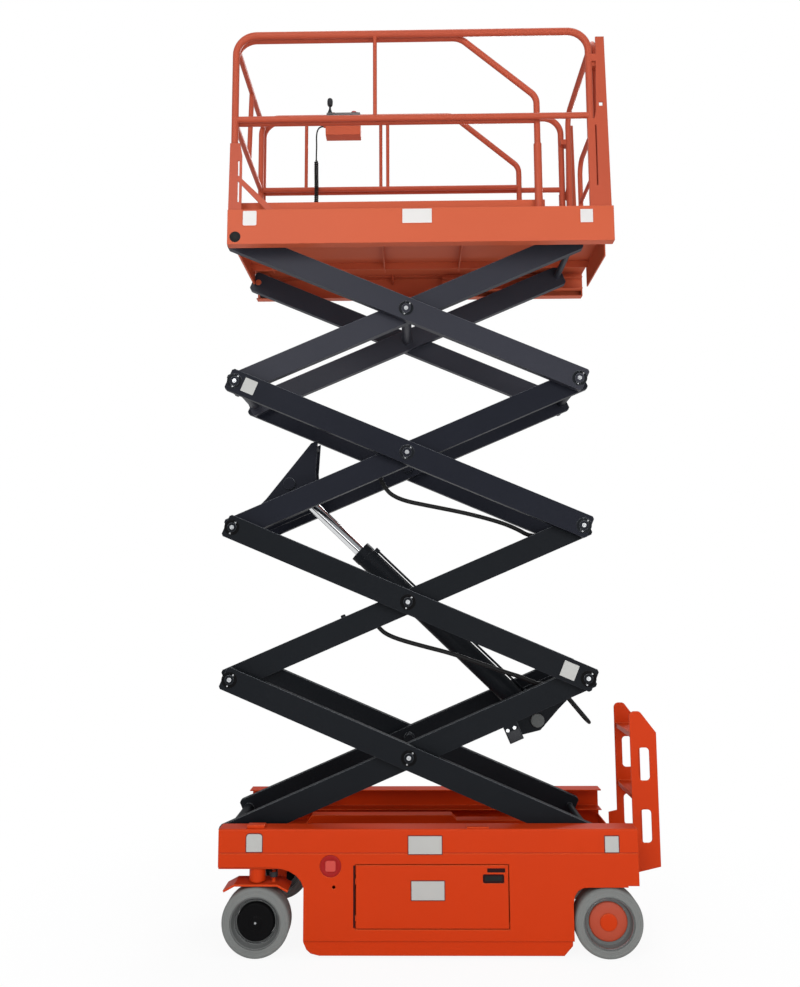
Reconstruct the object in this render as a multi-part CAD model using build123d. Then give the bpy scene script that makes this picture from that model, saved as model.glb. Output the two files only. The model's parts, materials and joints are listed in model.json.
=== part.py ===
"""Self-propelled scissor lift with four stages of crossed arms, a roll-out deck and a steering end.

Frame: millimetres, +Z up, +X towards the entry ladder, -X towards the steered wheels.
The origin is on the ground under the middle of the whole machine.
"""
import os
from math import atan2, cos, degrees, hypot, pi, radians, sin, sqrt, tan

from build123d import *

os.makedirs("parts", exist_ok=True)

# ------------------------------------------------------------------ driving sizes
HALF_WIDTH = 500.0        # half the width of the chassis and of the platform

CHASSIS_HALF_LENGTH = 1137.5
CHASSIS_TOP = 677.0
CHASSIS_PLATE = 6.0
SKIN = 4.0
FLANGE_EDGE = 388.0       # inner edge of the side channels' flanges, measured from the middle

WHEEL_RADIUS = 185.0
TYRE_WIDTH = 120.0
TYRE_MIDDLE = 435.0       # from the middle of the machine to the middle of a tyre
RIM_RADIUS = 138.0
FRONT_WHEEL_OFFSET = 933.0    # from the middle of the chassis
REAR_WHEEL_OFFSET = 972.0

ARM_LENGTH = 2220.0       # pin to pin
ARM_DEPTH = 135.0
ARM_THICKNESS = 50.0
ARM_WALL = 6.0
ARM_TIP = 40.0            # from the end pins to the cut ends
ARM_CORNER = 12.0
REST_ANGLE = 23.1         # of the arms above the horizontal, as parked here
STAGES = 4
PIVOT_OFFSET = 1120.0     # of the fixed pins, at the steered end, from the middle of the chassis
PIVOT_Z = 592.0
INNER_FACE = 272.0        # inner face of the inner arms
ARM_GAP = 8.0             # between an inner arm and the outer arm beside it
PIN_RADIUS = 20.0
PIN_FIT = 0.06            # radial clearance of every pin
CROSS_TUBE_RADIUS = 32.0
BOSS_RADIUS = 34.0
BOSS_REACH = 27.0         # of a middle boss, inwards from its inner arm
HEAD_RADIUS = 27.0
HEAD_THICKNESS = 3.0
ROLLER_RADIUS = 36.7
ROLLER_WIDTH = 38.0
ROLLER_GAP = 0.3

BARREL_RADIUS = 65.0
BARREL_BORE = 56.0
BARREL_LENGTH = 1474.0    # from the lower pin to the gland's face
GLAND_RADIUS = 69.0
GLAND_LENGTH = 55.0
ROD_RADIUS = 35.0
ROD_LENGTH = 1480.0
PISTON_LENGTH = 70.0
EYE_RADIUS = 50.0
EYE_HALF_WIDTH = 66.0
EYE_PIN_RADIUS = 25.0
CHEEK_NEAR = 75.0         # inner face of the cylinder's bracket plates
CHEEK_THICKNESS = 15.0
LOWER_PIN_BACK = 341.0    # of the lower pin, along the lowest inner arms from their last pin
PIN_OFFSET = 152.0        # of both pins, square to their arms
UPPER_PIN_ALONG = 381.0   # of the upper pin, along the third inner arms

PLATFORM_BACK = 1153.0    # from the middle of the chassis to the platform's steered end
PLATFORM_FRONT = 1127.0   # and to its entry end
FLOOR_RISE = 79.0         # of the floor's underside above the top pins
FLOOR_PLATE = 4.0
SIDE_DROP = 78.0          # of the platform's side plates below the top pins
SIDE_RISE = 134.0         # and above them
TOP_RAIL_RISE = 1255.0    # middle of the top rail above the top pins
MID_RAIL_RISE = 714.0
RAIL_RADIUS = 21.0
RAIL_BEND = 125.0
INNER_RAIL_RADIUS = 19.0
RAIL_GAP = 6.0            # between a fixed rail and the roll-out deck's rail beside it
SLIDE_GAP = 0.3
DECK_LIFT = 5.0           # of the roll-out deck above the floor, on its slide strips

LADDER_HALF_WIDTH = 192.0
LADDER_PLATE = 6.0
LADDER_REACH = 1343.0     # from the middle of the chassis to the ladder's outer edge
LADDER_DEPTH = 153.0

# ------------------------------------------------------------------ worked-out sizes
THETA = radians(REST_ANGLE)
SPAN = ARM_LENGTH * cos(THETA)
STEP = ARM_LENGTH * sin(THETA)
TOP_PIN_Z = PIVOT_Z + STAGES * STEP
HALF_DEPTH = ARM_DEPTH / 2
LOWER_PIN = (ARM_LENGTH - LOWER_PIN_BACK, -PIN_OFFSET)
UPPER_PIN = (UPPER_PIN_ALONG, PIN_OFFSET)
TIP_REACH = ARM_TIP * cos(THETA) + (HALF_DEPTH - ARM_CORNER) * sin(THETA)
MID_X = (PIVOT_OFFSET + TIP_REACH - LADDER_REACH) / 2    # middle of the chassis in the machine's frame
PIVOT_X = MID_X - PIVOT_OFFSET
FRONT_WHEEL_X = MID_X - FRONT_WHEEL_OFFSET
REAR_WHEEL_X = MID_X + REAR_WHEEL_OFFSET
PLATFORM_LEFT = MID_X - PLATFORM_BACK
PLATFORM_RIGHT = MID_X + PLATFORM_FRONT
CHANNEL_BOTTOM = PIVOT_Z - ROLLER_RADIUS - ROLLER_GAP - CHASSIS_PLATE
INNER_ARM_OUT = INNER_FACE + ARM_THICKNESS
OUTER_ARM_IN = INNER_ARM_OUT + ARM_GAP
OUTER_ARM_OUT = OUTER_ARM_IN + ARM_THICKNESS
BORE_RADIUS = PIN_RADIUS + PIN_FIT
FLOOR_UNDER = TOP_PIN_Z + FLOOR_RISE
FLOOR_TOP = FLOOR_UNDER + FLOOR_PLATE
CHASSIS_LEFT = MID_X - CHASSIS_HALF_LENGTH
CHASSIS_RIGHT = MID_X + CHASSIS_HALF_LENGTH
RAIL_Y = HALF_WIDTH - CHASSIS_PLATE - RAIL_RADIUS
INNER_RAIL_Y = RAIL_Y - RAIL_RADIUS - RAIL_GAP - INNER_RAIL_RADIUS
TOP_RAIL_Z = TOP_PIN_Z + TOP_RAIL_RISE
MID_RAIL_Z = TOP_PIN_Z + MID_RAIL_RISE
SIDES = (("near", -1), ("far", 1))


# ------------------------------------------------------------------ making shapes
def block(x, y, z):
    """A box from its low and high corner on each axis."""
    size = [abs(pair[1] - pair[0]) for pair in (x, y, z)]
    middle = [(pair[0] + pair[1]) / 2 for pair in (x, y, z)]
    return Pos(*middle) * Box(*size)


def round_bar(start, end, radius, bore=0.0):
    """A straight bar, or a tube when it has a bore, from one point to another."""
    run = Vector(*end) - Vector(*start)
    seat = Plane(origin=start, z_dir=run)
    ring = Circle(radius)
    if bore > 0:
        ring = ring - Circle(bore)
    return extrude(seat * ring, amount=run.length)


def across(x, z, radius, y, bore=0.0):
    """A bar along the machine's width, between two values of y."""
    return round_bar((x, y[0], z), (x, y[1], z), radius, bore)


def side_plate(outline, y):
    """A plate whose outline is given as (x, z) points, between two values of y."""
    face = make_face(Polyline(*[(x, y[0], z) for x, z in outline], close=True))
    return extrude(face, amount=y[1] - y[0], dir=(0, 1, 0))


def cross_plate(outline, x):
    """A plate whose outline is given as (y, z) points, between two values of x."""
    face = make_face(Polyline(*[(x[0], y, z) for y, z in outline], close=True))
    return extrude(face, amount=x[1] - x[0], dir=(1, 0, 0))


def fused(pieces):
    """All the pieces as one shape."""
    return pieces[0].fuse(*pieces[1:]) if len(pieces) > 1 else pieces[0]


def along(path, radius):
    """A round bar along a path, swept run by run and bend by bend."""
    runs = []
    for edge in path.edges():
        runs.append(sweep(Plane(origin=edge @ 0, z_dir=edge % 0) * Circle(radius), path=edge))
    return fused(runs)


def bent_tube(points, radii, radius):
    """A round tube along straight runs joined by arcs of the given radii."""
    return along(FilletPolyline(*points, radius=radii), radius)


def mirrored(piece):
    """The piece and its reflection on the other side of the machine."""
    return [piece, mirror(piece, about=Plane.XZ)]


def slot_cut(x, z, half_width, half_height, y):
    """A tall slot with round ends, as a cutter through a plate that faces sideways."""
    reach = half_height - half_width
    body = block((x - half_width, x + half_width), y, (z - reach, z + reach))
    ends = [across(x, z + way * reach, half_width, y) for way in (-1, 1)]
    return fused([body] + ends)


def save(node, *pieces):
    """Writes the solids of one node."""
    solids = [solid for piece in pieces for solid in piece.solids()]
    shape = solids[0] if len(solids) == 1 else Compound(children=solids)
    export_step(shape, f"parts/{node}.step")


# ------------------------------------------------------------------ chassis
BELLY_FRONT = (465.0, 471.0)
BELLY_REAR = (436.0, 442.0)
TRAY_LEFT = MID_X - 672.0
TRAY_RIGHT = MID_X + 782.0
BEAM_Y = (115.0, 195.0)
LEDGE_TOP = 590.0
TAIL_TOP = 560.0
EAR_THICKNESS = 15.0
KINGPIN_RADIUS = 30.0
KINGPIN_HOUSING = 44.0
HOUSING_BOTTOM = 392.0
END_PLATE_TOP = 502.0
LUG_THICKNESS = 12.0
LUG_HOLE = 16.0
LUG_BELOW_HOLE = 27.0
LUG_Y = 200.0
LUGS = (
    # x, underside it hangs from, height of the hole
    (CHASSIS_LEFT + 50.0, BELLY_FRONT[0], 430.0),
    (CHASSIS_RIGHT - 50.0, BELLY_REAR[0], 358.0),
)
WALL_IN = HALF_WIDTH - CHASSIS_PLATE - 14.0     # inner face of the walls under the side channels
WALL_THICKNESS = 6.0


def side_channel(way):
    """One C-shaped side channel, open inwards, with the lower wall that carries it on the belly."""
    inside = (way * FLANGE_EDGE, way * (HALF_WIDTH - CHASSIS_PLATE))
    outside = (way * FLANGE_EDGE, way * HALF_WIDTH)
    length = (CHASSIS_LEFT, CHASSIS_RIGHT)
    bar = block(length, outside, (CHANNEL_BOTTOM, CHASSIS_TOP))
    top_edges = bar.edges().filter_by(Axis.X).sort_by(Axis.Z)[-2:]
    outer_top = top_edges.sort_by(Axis.Y)[0 if way < 0 else -1]
    bar = fillet(outer_top, CHASSIS_PLATE * 1.5)
    hollow = (CHANNEL_BOTTOM + CHASSIS_PLATE, CHASSIS_TOP - CHASSIS_PLATE)
    channel = bar - block((length[0] - 1, length[1] + 1), inside, hollow)
    wall = [
        (CHASSIS_LEFT, BELLY_FRONT[0]), (TRAY_LEFT, BELLY_FRONT[0]), (TRAY_LEFT, BELLY_REAR[0]),
        (CHASSIS_RIGHT, BELLY_REAR[0]), (CHASSIS_RIGHT, CHANNEL_BOTTOM), (CHASSIS_LEFT, CHANNEL_BOTTOM),
    ]
    return fused([channel, side_plate(wall, (way * WALL_IN, way * (WALL_IN + WALL_THICKNESS)))])


def tie_down_lug(x, underside, hole_z, way):
    """A drilled lug below the belly plate, for lashing the machine to a trailer."""
    bottom = hole_z - LUG_BELOW_HOLE
    outline = [(x - 38, underside), (x - 24, bottom), (x + 24, bottom), (x + 38, underside)]
    y = (way * LUG_Y - LUG_THICKNESS / 2, way * LUG_Y + LUG_THICKNESS / 2)
    return side_plate(outline, y) - across(x, hole_z, LUG_HOLE, (y[0] - 1, y[1] + 1))


def belly():
    """The stepped belly plate with its end plates, cross ribs, kingpin housings and lugs."""
    wide = (-WALL_IN, WALL_IN)
    pieces = [
        block((CHASSIS_LEFT, TRAY_LEFT), wide, BELLY_FRONT),
        block((TRAY_LEFT - CHASSIS_PLATE, CHASSIS_RIGHT), wide, BELLY_REAR),
        block((TRAY_LEFT - CHASSIS_PLATE, TRAY_LEFT), wide, (BELLY_REAR[0], BELLY_FRONT[1])),
        block((CHASSIS_LEFT, CHASSIS_LEFT + CHASSIS_PLATE), wide, (BELLY_FRONT[0], END_PLATE_TOP)),
        block((CHASSIS_RIGHT - CHASSIS_PLATE, CHASSIS_RIGHT), wide, (381.0, END_PLATE_TOP)),
    ]
    bores = []
    for _, way in SIDES:
        for x, underside, hole_z in LUGS:
            pieces.append(tie_down_lug(x, underside, hole_z, way))
        middle = way * TYRE_MIDDLE
        foot = (FRONT_WHEEL_X, middle, HOUSING_BOTTOM)
        pieces.append(round_bar(foot, (FRONT_WHEEL_X, middle, BELLY_FRONT[0]), KINGPIN_HOUSING))
        under = (FRONT_WHEEL_X, middle, HOUSING_BOTTOM - 1)
        over = (FRONT_WHEEL_X, middle, BELLY_FRONT[1] + 1)
        bores.append(round_bar(under, over, KINGPIN_RADIUS + PIN_FIT))
    for x in (MID_X - 560, MID_X + 120, MID_X + 945):
        pieces.append(block((x, x + 12), (-BEAM_Y[0], BEAM_Y[0]), (BELLY_REAR[1], 490.0)))
    return fused(pieces) - bores


def centre_beam(way):
    """One lengthwise beam on the belly, on which the folded stack comes to rest."""
    front_top = PIVOT_Z - HALF_DEPTH - ARM_TIP / 2
    outline = [
        (CHASSIS_LEFT + 6, BELLY_FRONT[1]), (CHASSIS_LEFT + 6, front_top),
        (MID_X - 760, front_top), (MID_X - 700, LEDGE_TOP), (MID_X + 160, LEDGE_TOP),
        (MID_X + 190, TAIL_TOP), (MID_X + 960, TAIL_TOP), (MID_X + 960, BELLY_REAR[1]),
        (TRAY_LEFT, BELLY_REAR[1]), (TRAY_LEFT, BELLY_FRONT[1]),
    ]
    return side_plate(outline, (way * BEAM_Y[0], way * BEAM_Y[1]))


def pivot_ear(way):
    """A fixed ear at the steered end, with the pin of the lowest inner arm."""
    outline = [
        (CHASSIS_LEFT + CHASSIS_PLATE, BELLY_FRONT[1]), (CHASSIS_LEFT + CHASSIS_PLATE, END_PLATE_TOP),
        (PIVOT_X - 40, END_PLATE_TOP + 20), (PIVOT_X - 40, PIVOT_Z + 20), (PIVOT_X - 22, PIVOT_Z + 38),
        (PIVOT_X + 22, PIVOT_Z + 38), (PIVOT_X + 40, PIVOT_Z + 20), (PIVOT_X + 75, BELLY_FRONT[1]),
    ]
    ear_in = way * OUTER_ARM_IN
    pin = (way * (INNER_FACE - 15), ear_in + way * (EAR_THICKNESS + HEAD_THICKNESS))
    ear = side_plate(outline, (ear_in, ear_in + way * EAR_THICKNESS))
    return fused([ear, across(PIVOT_X, PIVOT_Z, PIN_RADIUS, pin)])


save("side_channels", *[side_channel(way) for _, way in SIDES])
save("belly", belly())
save("centre_beams", *[centre_beam(way) for _, way in SIDES])
save("pivot_ears", *[pivot_ear(way) for _, way in SIDES])

# ------------------------------------------------------------------ side panels, doors and guards
ARCH_TOP_REAR = 373.0
SKIN_BOTTOM = 98.0
TRAY_FLOOR = 106.0
TRAY_INNER = 290.0
DOOR_GAP = 5.0
DOOR_X = (MID_X - 393.0, MID_X + 439.0)
DOOR_Z = (158.0, 494.0)
KNUCKLE_RADIUS = 2.5
GUARD_TOP = 190.0
GUARD_LIFT = 80.0
GUARD_FACE = HALF_WIDTH - 2 * SKIN - 5.5
DISC_AT = (MID_X - 526.0, 484.0)
DISC_RADIUS = 58.0


def skin_outline():
    """The outer sheet's edge, with the two wheel arches, as (x, z) points."""
    return [
        (CHASSIS_LEFT, CHANNEL_BOTTOM), (CHASSIS_LEFT, 477.0), (MID_X - 850, 477.0), (MID_X - 800, 471.0),
        (MID_X - 750, 457.0), (MID_X - 712, 434.0), (MID_X - 686, 405.0), (TRAY_LEFT, 371.0),
        (TRAY_LEFT, SKIN_BOTTOM), (TRAY_RIGHT, SKIN_BOTTOM), (TRAY_RIGHT, 290.0), (MID_X + 790, 330.0),
        (MID_X + 808, 356.0), (MID_X + 836, 371.0), (MID_X + 870, ARCH_TOP_REAR),
        (MID_X + 1078, ARCH_TOP_REAR), (MID_X + 1078, 381.0), (CHASSIS_RIGHT, 381.0),
        (CHASSIS_RIGHT, CHANNEL_BOTTOM),
    ]


def side_panel(way):
    """The outer sheet with its door opening, and the equipment tray behind it."""
    outer = (way * (HALF_WIDTH - SKIN), way * HALF_WIDTH)
    through = (way * (HALF_WIDTH - 2 * SKIN), way * (HALF_WIDTH + SKIN))
    sheet = side_plate(skin_outline(), outer)
    sheet = sheet - block(DOOR_X, through, DOOR_Z)
    if way < 0:
        sheet = sheet - across(DISC_AT[0], DISC_AT[1], DISC_RADIUS + SLIDE_GAP, through)
        sheet = sheet - across(MID_X - 508, 375.0, 9.0, through)
    inner = way * TRAY_INNER
    backing = way * (HALF_WIDTH - SKIN)
    pieces = [sheet]
    pieces.append(block((TRAY_LEFT, TRAY_RIGHT), (inner, way * 480), (TRAY_FLOOR, TRAY_FLOOR + SKIN)))
    pieces.append(block((TRAY_LEFT, TRAY_RIGHT), (inner, inner + way * SKIN), (TRAY_FLOOR, BELLY_REAR[0])))
    for x in (TRAY_LEFT, TRAY_RIGHT - SKIN):
        pieces.append(block((x, x + SKIN), (inner, way * 480), (TRAY_FLOOR, BELLY_REAR[0])))
        pieces.append(block((x, x + SKIN), (way * 478, backing), (GUARD_TOP + GUARD_LIFT + 15, BELLY_REAR[0])))
    guide = (way * 478, way * (GUARD_FACE - SLIDE_GAP))
    for x in (MID_X - 560, MID_X - 30, MID_X + 600):
        pieces.append(block((x, x + 30), guide, (SKIN_BOTTOM, GUARD_TOP - 20)))
    return fused(pieces)


def door(way):
    """A sheet-steel door with two shallow latch recesses and its hinge knuckles."""
    x = (DOOR_X[0] + 2 * KNUCKLE_RADIUS, DOOR_X[1] - DOOR_GAP)
    z = (DOOR_Z[0] + DOOR_GAP, DOOR_Z[1] - DOOR_GAP)
    panel = block(x, (way * (HALF_WIDTH - SKIN), way * HALF_WIDTH), z)
    recess = (way * (HALF_WIDTH - SKIN / 2), way * (HALF_WIDTH + SKIN))
    for left, right, low, high in ((321, 418, 451, 473), (297, 412, 395, 442)):
        panel = panel - block((MID_X + left, MID_X + right), recess, (low, high))
    stiffener = block((x[0] + 30, x[1] - 30), (way * (HALF_WIDTH - 12), way * (HALF_WIDTH - SKIN)), (330, 350))
    pieces = [panel, stiffener]
    for z in (200.0, 390.0):
        hinge = (DOOR_X[0] + KNUCKLE_RADIUS + SLIDE_GAP, way * HALF_WIDTH)
        pieces.append(round_bar((*hinge, z), (*hinge, z + 30), KNUCKLE_RADIUS))
    return fused(pieces)


def guard(way):
    """A pothole guard that hangs just above the ground and slides up behind the sheet."""
    outline = [
        (TRAY_LEFT, GUARD_TOP), (TRAY_LEFT, 89.0), (MID_X - 655, 52.0), (MID_X - 632, 32.0), (MID_X - 586, 21.0),
        (MID_X + 727, 21.0), (TRAY_RIGHT - 8, 72.0), (TRAY_RIGHT - 2, GUARD_TOP),
    ]
    return side_plate(outline, (way * GUARD_FACE, way * (GUARD_FACE + SKIN)))


for side, way in SIDES:
    save(f"side_panel_{side}", side_panel(way))
    save(f"door_{side}", door(way))
    save(f"pothole_guard_{side}", guard(way))
save("stop_disc", across(DISC_AT[0], DISC_AT[1], DISC_RADIUS, (-HALF_WIDTH, -HALF_WIDTH + CHASSIS_PLATE)))

# heavy masses in the trays, as plain blocks
EQUIPMENT_X = (MID_X - 370.0, MID_X + 410.0)
EQUIPMENT_Z = (TRAY_FLOOR + SKIN, 425.0)
EQUIPMENT_Y = (TRAY_INNER + SKIN + 6.0, 470.0)
save("hydraulic_unit", block(EQUIPMENT_X, (-EQUIPMENT_Y[1], -EQUIPMENT_Y[0]), EQUIPMENT_Z))
save("battery_pack", block(EQUIPMENT_X, EQUIPMENT_Y, EQUIPMENT_Z))

# ------------------------------------------------------------------ wheels, knuckles and axles
SPINDLE_RADIUS = 25.0
TYRE_BEVEL = 5.0
LEG = (350.0, 366.0)
YOKE_Z = (376.0, 386.0)
STEER_ARM = 90.0
TIE_ROD_Z = 425.0
TIE_PIN_RADIUS = 10.0


def tyre(x, way):
    """A solid press-on tyre with bevelled shoulders."""
    half = TYRE_WIDTH / 2
    bevel = TYRE_BEVEL
    profile = make_face(Polyline(
        (-half, RIM_RADIUS), (-half, WHEEL_RADIUS - bevel), (-half + bevel, WHEEL_RADIUS),
        (half - bevel, WHEEL_RADIUS), (half, WHEEL_RADIUS - bevel), (half, RIM_RADIUS), close=True,
    ))
    body = revolve(profile, axis=Axis.X)
    return Pos(x, way * TYRE_MIDDLE, WHEEL_RADIUS) * Rot(0, 0, 90) * body


def wheel_disc(x, way, hub_radius, cap_radius, cap_reach):
    """A steel wheel whose raised hub and cap cover the spindle; it is turned about its own axle."""
    half = TYRE_WIDTH / 2 - 4
    rim_in = RIM_RADIUS - 9
    rows = [
        # axial place from the tyre's middle (positive outwards), radius
        (-half, RIM_RADIUS), (half, RIM_RADIUS), (half, rim_in), (8, rim_in), (8, hub_radius),
        (cap_reach, hub_radius), (cap_reach, cap_radius), (cap_reach + 6, cap_radius), (cap_reach + 6, 0),
        (0, 0), (0, SPINDLE_RADIUS + PIN_FIT), (-40, SPINDLE_RADIUS + PIN_FIT), (-40, 60), (-8, 60),
        (-8, rim_in), (-half, rim_in),
    ]
    profile = make_face(Polyline(*rows, close=True))
    body = revolve(profile, axis=Axis.X)
    return Pos(x, way * TYRE_MIDDLE, WHEEL_RADIUS) * Rot(0, 0, way * 90) * body


WHEELS = (
    # name, x, hub radius, cap radius, cap reach
    ("front", FRONT_WHEEL_X, 96.0, 30.0, 44.0),
    ("rear", REAR_WHEEL_X, 102.0, 46.0, 34.0),
)
for place, wheel_x, hub_radius, cap_radius, cap_reach in WHEELS:
    for side, way in SIDES:
        save(f"tyre_{place}_{side}", tyre(wheel_x, way))
        save(f"wheel_{place}_{side}", wheel_disc(wheel_x, way, hub_radius, cap_radius, cap_reach))


def knuckle(way):
    """A steered yoke: kingpin, folded plate over the tyre, leg down its inner side and spindle."""
    middle = way * TYRE_MIDDLE
    leg = (way * LEG[0], way * LEG[1])
    over = (way * LEG[0], way * 494.0)
    x = FRONT_WHEEL_X
    fold = [
        (x - 172, 346), (x - 178, 355), (x - 118, YOKE_Z[1]), (x + 118, YOKE_Z[1]), (x + 178, 355),
        (x + 172, 346), (x + 115, YOKE_Z[0]), (x - 115, YOKE_Z[0]),
    ]
    drop = [(x - 60, YOKE_Z[0]), (x - 42, 140), (x + 42, 140), (x + 60, YOKE_Z[0])]
    pieces = [
        side_plate(fold, over),
        side_plate(drop, leg),
        round_bar((x, middle, YOKE_Z[0]), (x, middle, BELLY_FRONT[1] + 4), KINGPIN_RADIUS),
        across(x, WHEEL_RADIUS, SPINDLE_RADIUS, (way * LEG[0], way * (TYRE_MIDDLE - 0.5))),
        block((x, x + STEER_ARM + 16), (middle - 14, middle + 14), YOKE_Z),
        round_bar((x + STEER_ARM, middle, YOKE_Z[0]), (x + STEER_ARM, middle, TIE_ROD_Z + 16), TIE_PIN_RADIUS),
    ]
    return fused(pieces)


def tie_rod():
    """The bar that makes both front wheels steer together."""
    x = FRONT_WHEEL_X + STEER_ARM
    pieces = [across(x, TIE_ROD_Z, 12.0, (-TYRE_MIDDLE, TYRE_MIDDLE))]
    for _, way in SIDES:
        middle = way * TYRE_MIDDLE
        pieces.append(round_bar((x, middle, TIE_ROD_Z - 13), (x, middle, TIE_ROD_Z + 13), 22.0))
    rod = fused(pieces)
    for _, way in SIDES:
        middle = way * TYRE_MIDDLE
        rod = rod - round_bar((x, middle, 400), (x, middle, 450), TIE_PIN_RADIUS + PIN_FIT)
    return rod


def rear_axle():
    """A round axle on two hanger plates below the belly, with a spindle at each end."""
    x = REAR_WHEEL_X
    pieces = [across(x, WHEEL_RADIUS, 40.0, (-LEG[1], LEG[1]))]
    for _, way in SIDES:
        hanger = [(x - 75, BELLY_REAR[0]), (x - 50, 140), (x + 50, 140), (x + 75, BELLY_REAR[0])]
        pieces.append(side_plate(hanger, (way * 300, way * 314)))
        pieces.append(across(x, WHEEL_RADIUS, SPINDLE_RADIUS, (way * LEG[1], way * (TYRE_MIDDLE - 0.5))))
    return fused(pieces)


for side, way in SIDES:
    save(f"knuckle_{side}", knuckle(way))
save("tie_rod", tie_rod())
save("rear_axle", rear_axle())

# ------------------------------------------------------------------ entry ladder
LADDER_LEFT = CHASSIS_RIGHT
LADDER_X = (MID_X + LADDER_REACH - LADDER_DEPTH, MID_X + LADDER_REACH)
LADDER_TOP = 1255.0
SLOT_X = (LADDER_X[0] + LADDER_X[1]) / 2
SLOT_HALF_WIDTH = 32.0
SLOT_CORNER = 22.0
SLOTS = ((955.0, 93.0), (607.5, 92.5))     # middle height, half height
TREADS = (420.0, 781.0, 1130.0)


def ladder():
    """Two slotted side plates with folded treads between them."""
    outline = [
        (LADDER_LEFT, 365.0), (LADDER_LEFT, 590.0), (LADDER_X[0], 602.0), (LADDER_X[0], LADDER_TOP),
        (LADDER_X[1] - 92, LADDER_TOP), (LADDER_X[1], LADDER_TOP - 122), (LADDER_X[1], 383.0),
        (LADDER_X[0] + 18, 352.0),
    ]
    pieces = []
    for _, way in SIDES:
        y = (way * LADDER_HALF_WIDTH, way * (LADDER_HALF_WIDTH - LADDER_PLATE))
        plate = side_plate(outline, y)
        head = plate.edges().filter_by(Axis.Y).group_by(Axis.Z)[-1].sort_by(Axis.X)
        plate = fillet(head[0], 30.0)
        head = plate.edges().filter_by(Axis.Y).group_by(Axis.Z)[-1].sort_by(Axis.X)
        plate = fillet(head[-1], 24.0)
        through = (way * (LADDER_HALF_WIDTH + 5), way * (LADDER_HALF_WIDTH - LADDER_PLATE - 5))
        for middle, half_height in SLOTS:
            slot_x = (SLOT_X - SLOT_HALF_WIDTH, SLOT_X + SLOT_HALF_WIDTH)
            slot = block(slot_x, through, (middle - half_height, middle + half_height))
            plate = plate - fillet(slot.edges().filter_by(Axis.Y), SLOT_CORNER)
        pieces.append(plate)
    inner = LADDER_HALF_WIDTH - LADDER_PLATE / 2
    for z in TREADS:
        tread = block((LADDER_X[0] + 8, LADDER_X[1] - 6), (-inner, inner), (z - 28, z))
        under = block((LADDER_X[0] + 12, LADDER_X[1] - 10), (-inner - 1, inner + 1), (z - 29, z - 4))
        pieces.append(tread - under)
    return fused(pieces)


save("ladder", ladder())

# ------------------------------------------------------------------ scissor arms


def arm_bar(inner_y, bosses):
    """One rectangular tube in its own frame: x from its left pin, z across its depth."""
    y = (inner_y, inner_y + ARM_THICKNESS)
    low, high = -ARM_TIP, ARM_LENGTH + ARM_TIP
    cut = ARM_CORNER
    outline = [
        (low, -HALF_DEPTH + cut), (low, HALF_DEPTH - cut), (low + cut, HALF_DEPTH), (high - cut, HALF_DEPTH),
        (high, HALF_DEPTH - cut), (high, -HALF_DEPTH + cut), (high - cut, -HALF_DEPTH), (low + cut, -HALF_DEPTH),
    ]
    bar = side_plate(outline, y)
    hollow = block(
        (low - 1, high + 1), (y[0] + ARM_WALL, y[1] - ARM_WALL), (-HALF_DEPTH + ARM_WALL, HALF_DEPTH - ARM_WALL)
    )
    bar = bar - hollow
    return fused([bar] + [across(place, 0, BOSS_RADIUS, y) for place in bosses])


def placed(shape, stage, rising):
    """Puts a pair of arms from its own frame into its stage; rising arms go up towards the entry."""
    if rising:
        return Pos(PIVOT_X, 0, PIVOT_Z + stage * STEP) * Rot(0, -REST_ANGLE, 0) * shape
    return Pos(PIVOT_X, 0, PIVOT_Z + (stage + 1) * STEP) * Rot(0, REST_ANGLE, 0) * shape


def rollers(x):
    """An axle with a roller at each end, fixed to the arms' ends."""
    start = FLANGE_EDGE + 2.0
    pieces = [across(x, 0, PIN_RADIUS, (-start - ROLLER_WIDTH - 2, start + ROLLER_WIDTH + 2))]
    for _, way in SIDES:
        pieces.append(across(x, 0, ROLLER_RADIUS, (way * start, way * (start + ROLLER_WIDTH))))
    return pieces


def cheeks(outline, pin, ties):
    """Two bracket plates for one eye of the lift cylinder, with a stub pin or a whole pin."""
    pieces = []
    for _, way in SIDES:
        y = (way * CHEEK_NEAR, way * (CHEEK_NEAR + CHEEK_THICKNESS))
        pieces.append(side_plate(outline, y))
        boss = (way * (CHEEK_NEAR + CHEEK_THICKNESS), way * (CHEEK_NEAR + CHEEK_THICKNESS + 12))
        pieces.append(across(pin[0], pin[1], EYE_PIN_RADIUS + 12, boss))
    for x, z, radius in ties:
        pieces.append(across(x, z, radius, (-CHEEK_NEAR, CHEEK_NEAR)))
    return pieces


LOWER_CHEEK_EDGE = (
    # back along the arms from their last pin, across them
    (20, 28), (-20, 0), (-2, -30), (135, -118), (192, -140), (348, -212), (480, -190), (504, -140), (490, -40),
    (420, 30),
)
LOWER_CHEEK = [(ARM_LENGTH - back, rise) for back, rise in LOWER_CHEEK_EDGE]
UPPER_CHEEK = (
    (-28, -20), (-20, 25), (213, 123), (602, 333), (647, 333), (560, 161), (520, 40), (420, -45), (40, -45),
)
TIE_BACK = 475.0          # of the bar between the lower cheeks, from the arms' last pin
SWITCH_BACK = (552.0, 468.0)
LOOP_Y = (-246.0, -110.0)
LOOP_BACK = 154.0         # from the arms' last pin to the line down which the loop hangs
LOOP_TURN = 16.6          # of that line from square below the arms, towards their upper end
LOOP_REACH = 273.0
LOOP_START = 60.0
LOOP_HOLD = 26.0           # to the stubs that hold its two ends
LOOP_RADIUS = 10.0


def loop_point(reach, y):
    """A point at a distance down the hanging loop's line, in the lowest inner arms' frame."""
    return (ARM_LENGTH - LOOP_BACK + reach * sin(radians(LOOP_TURN)), y, -reach * cos(radians(LOOP_TURN)))


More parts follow.
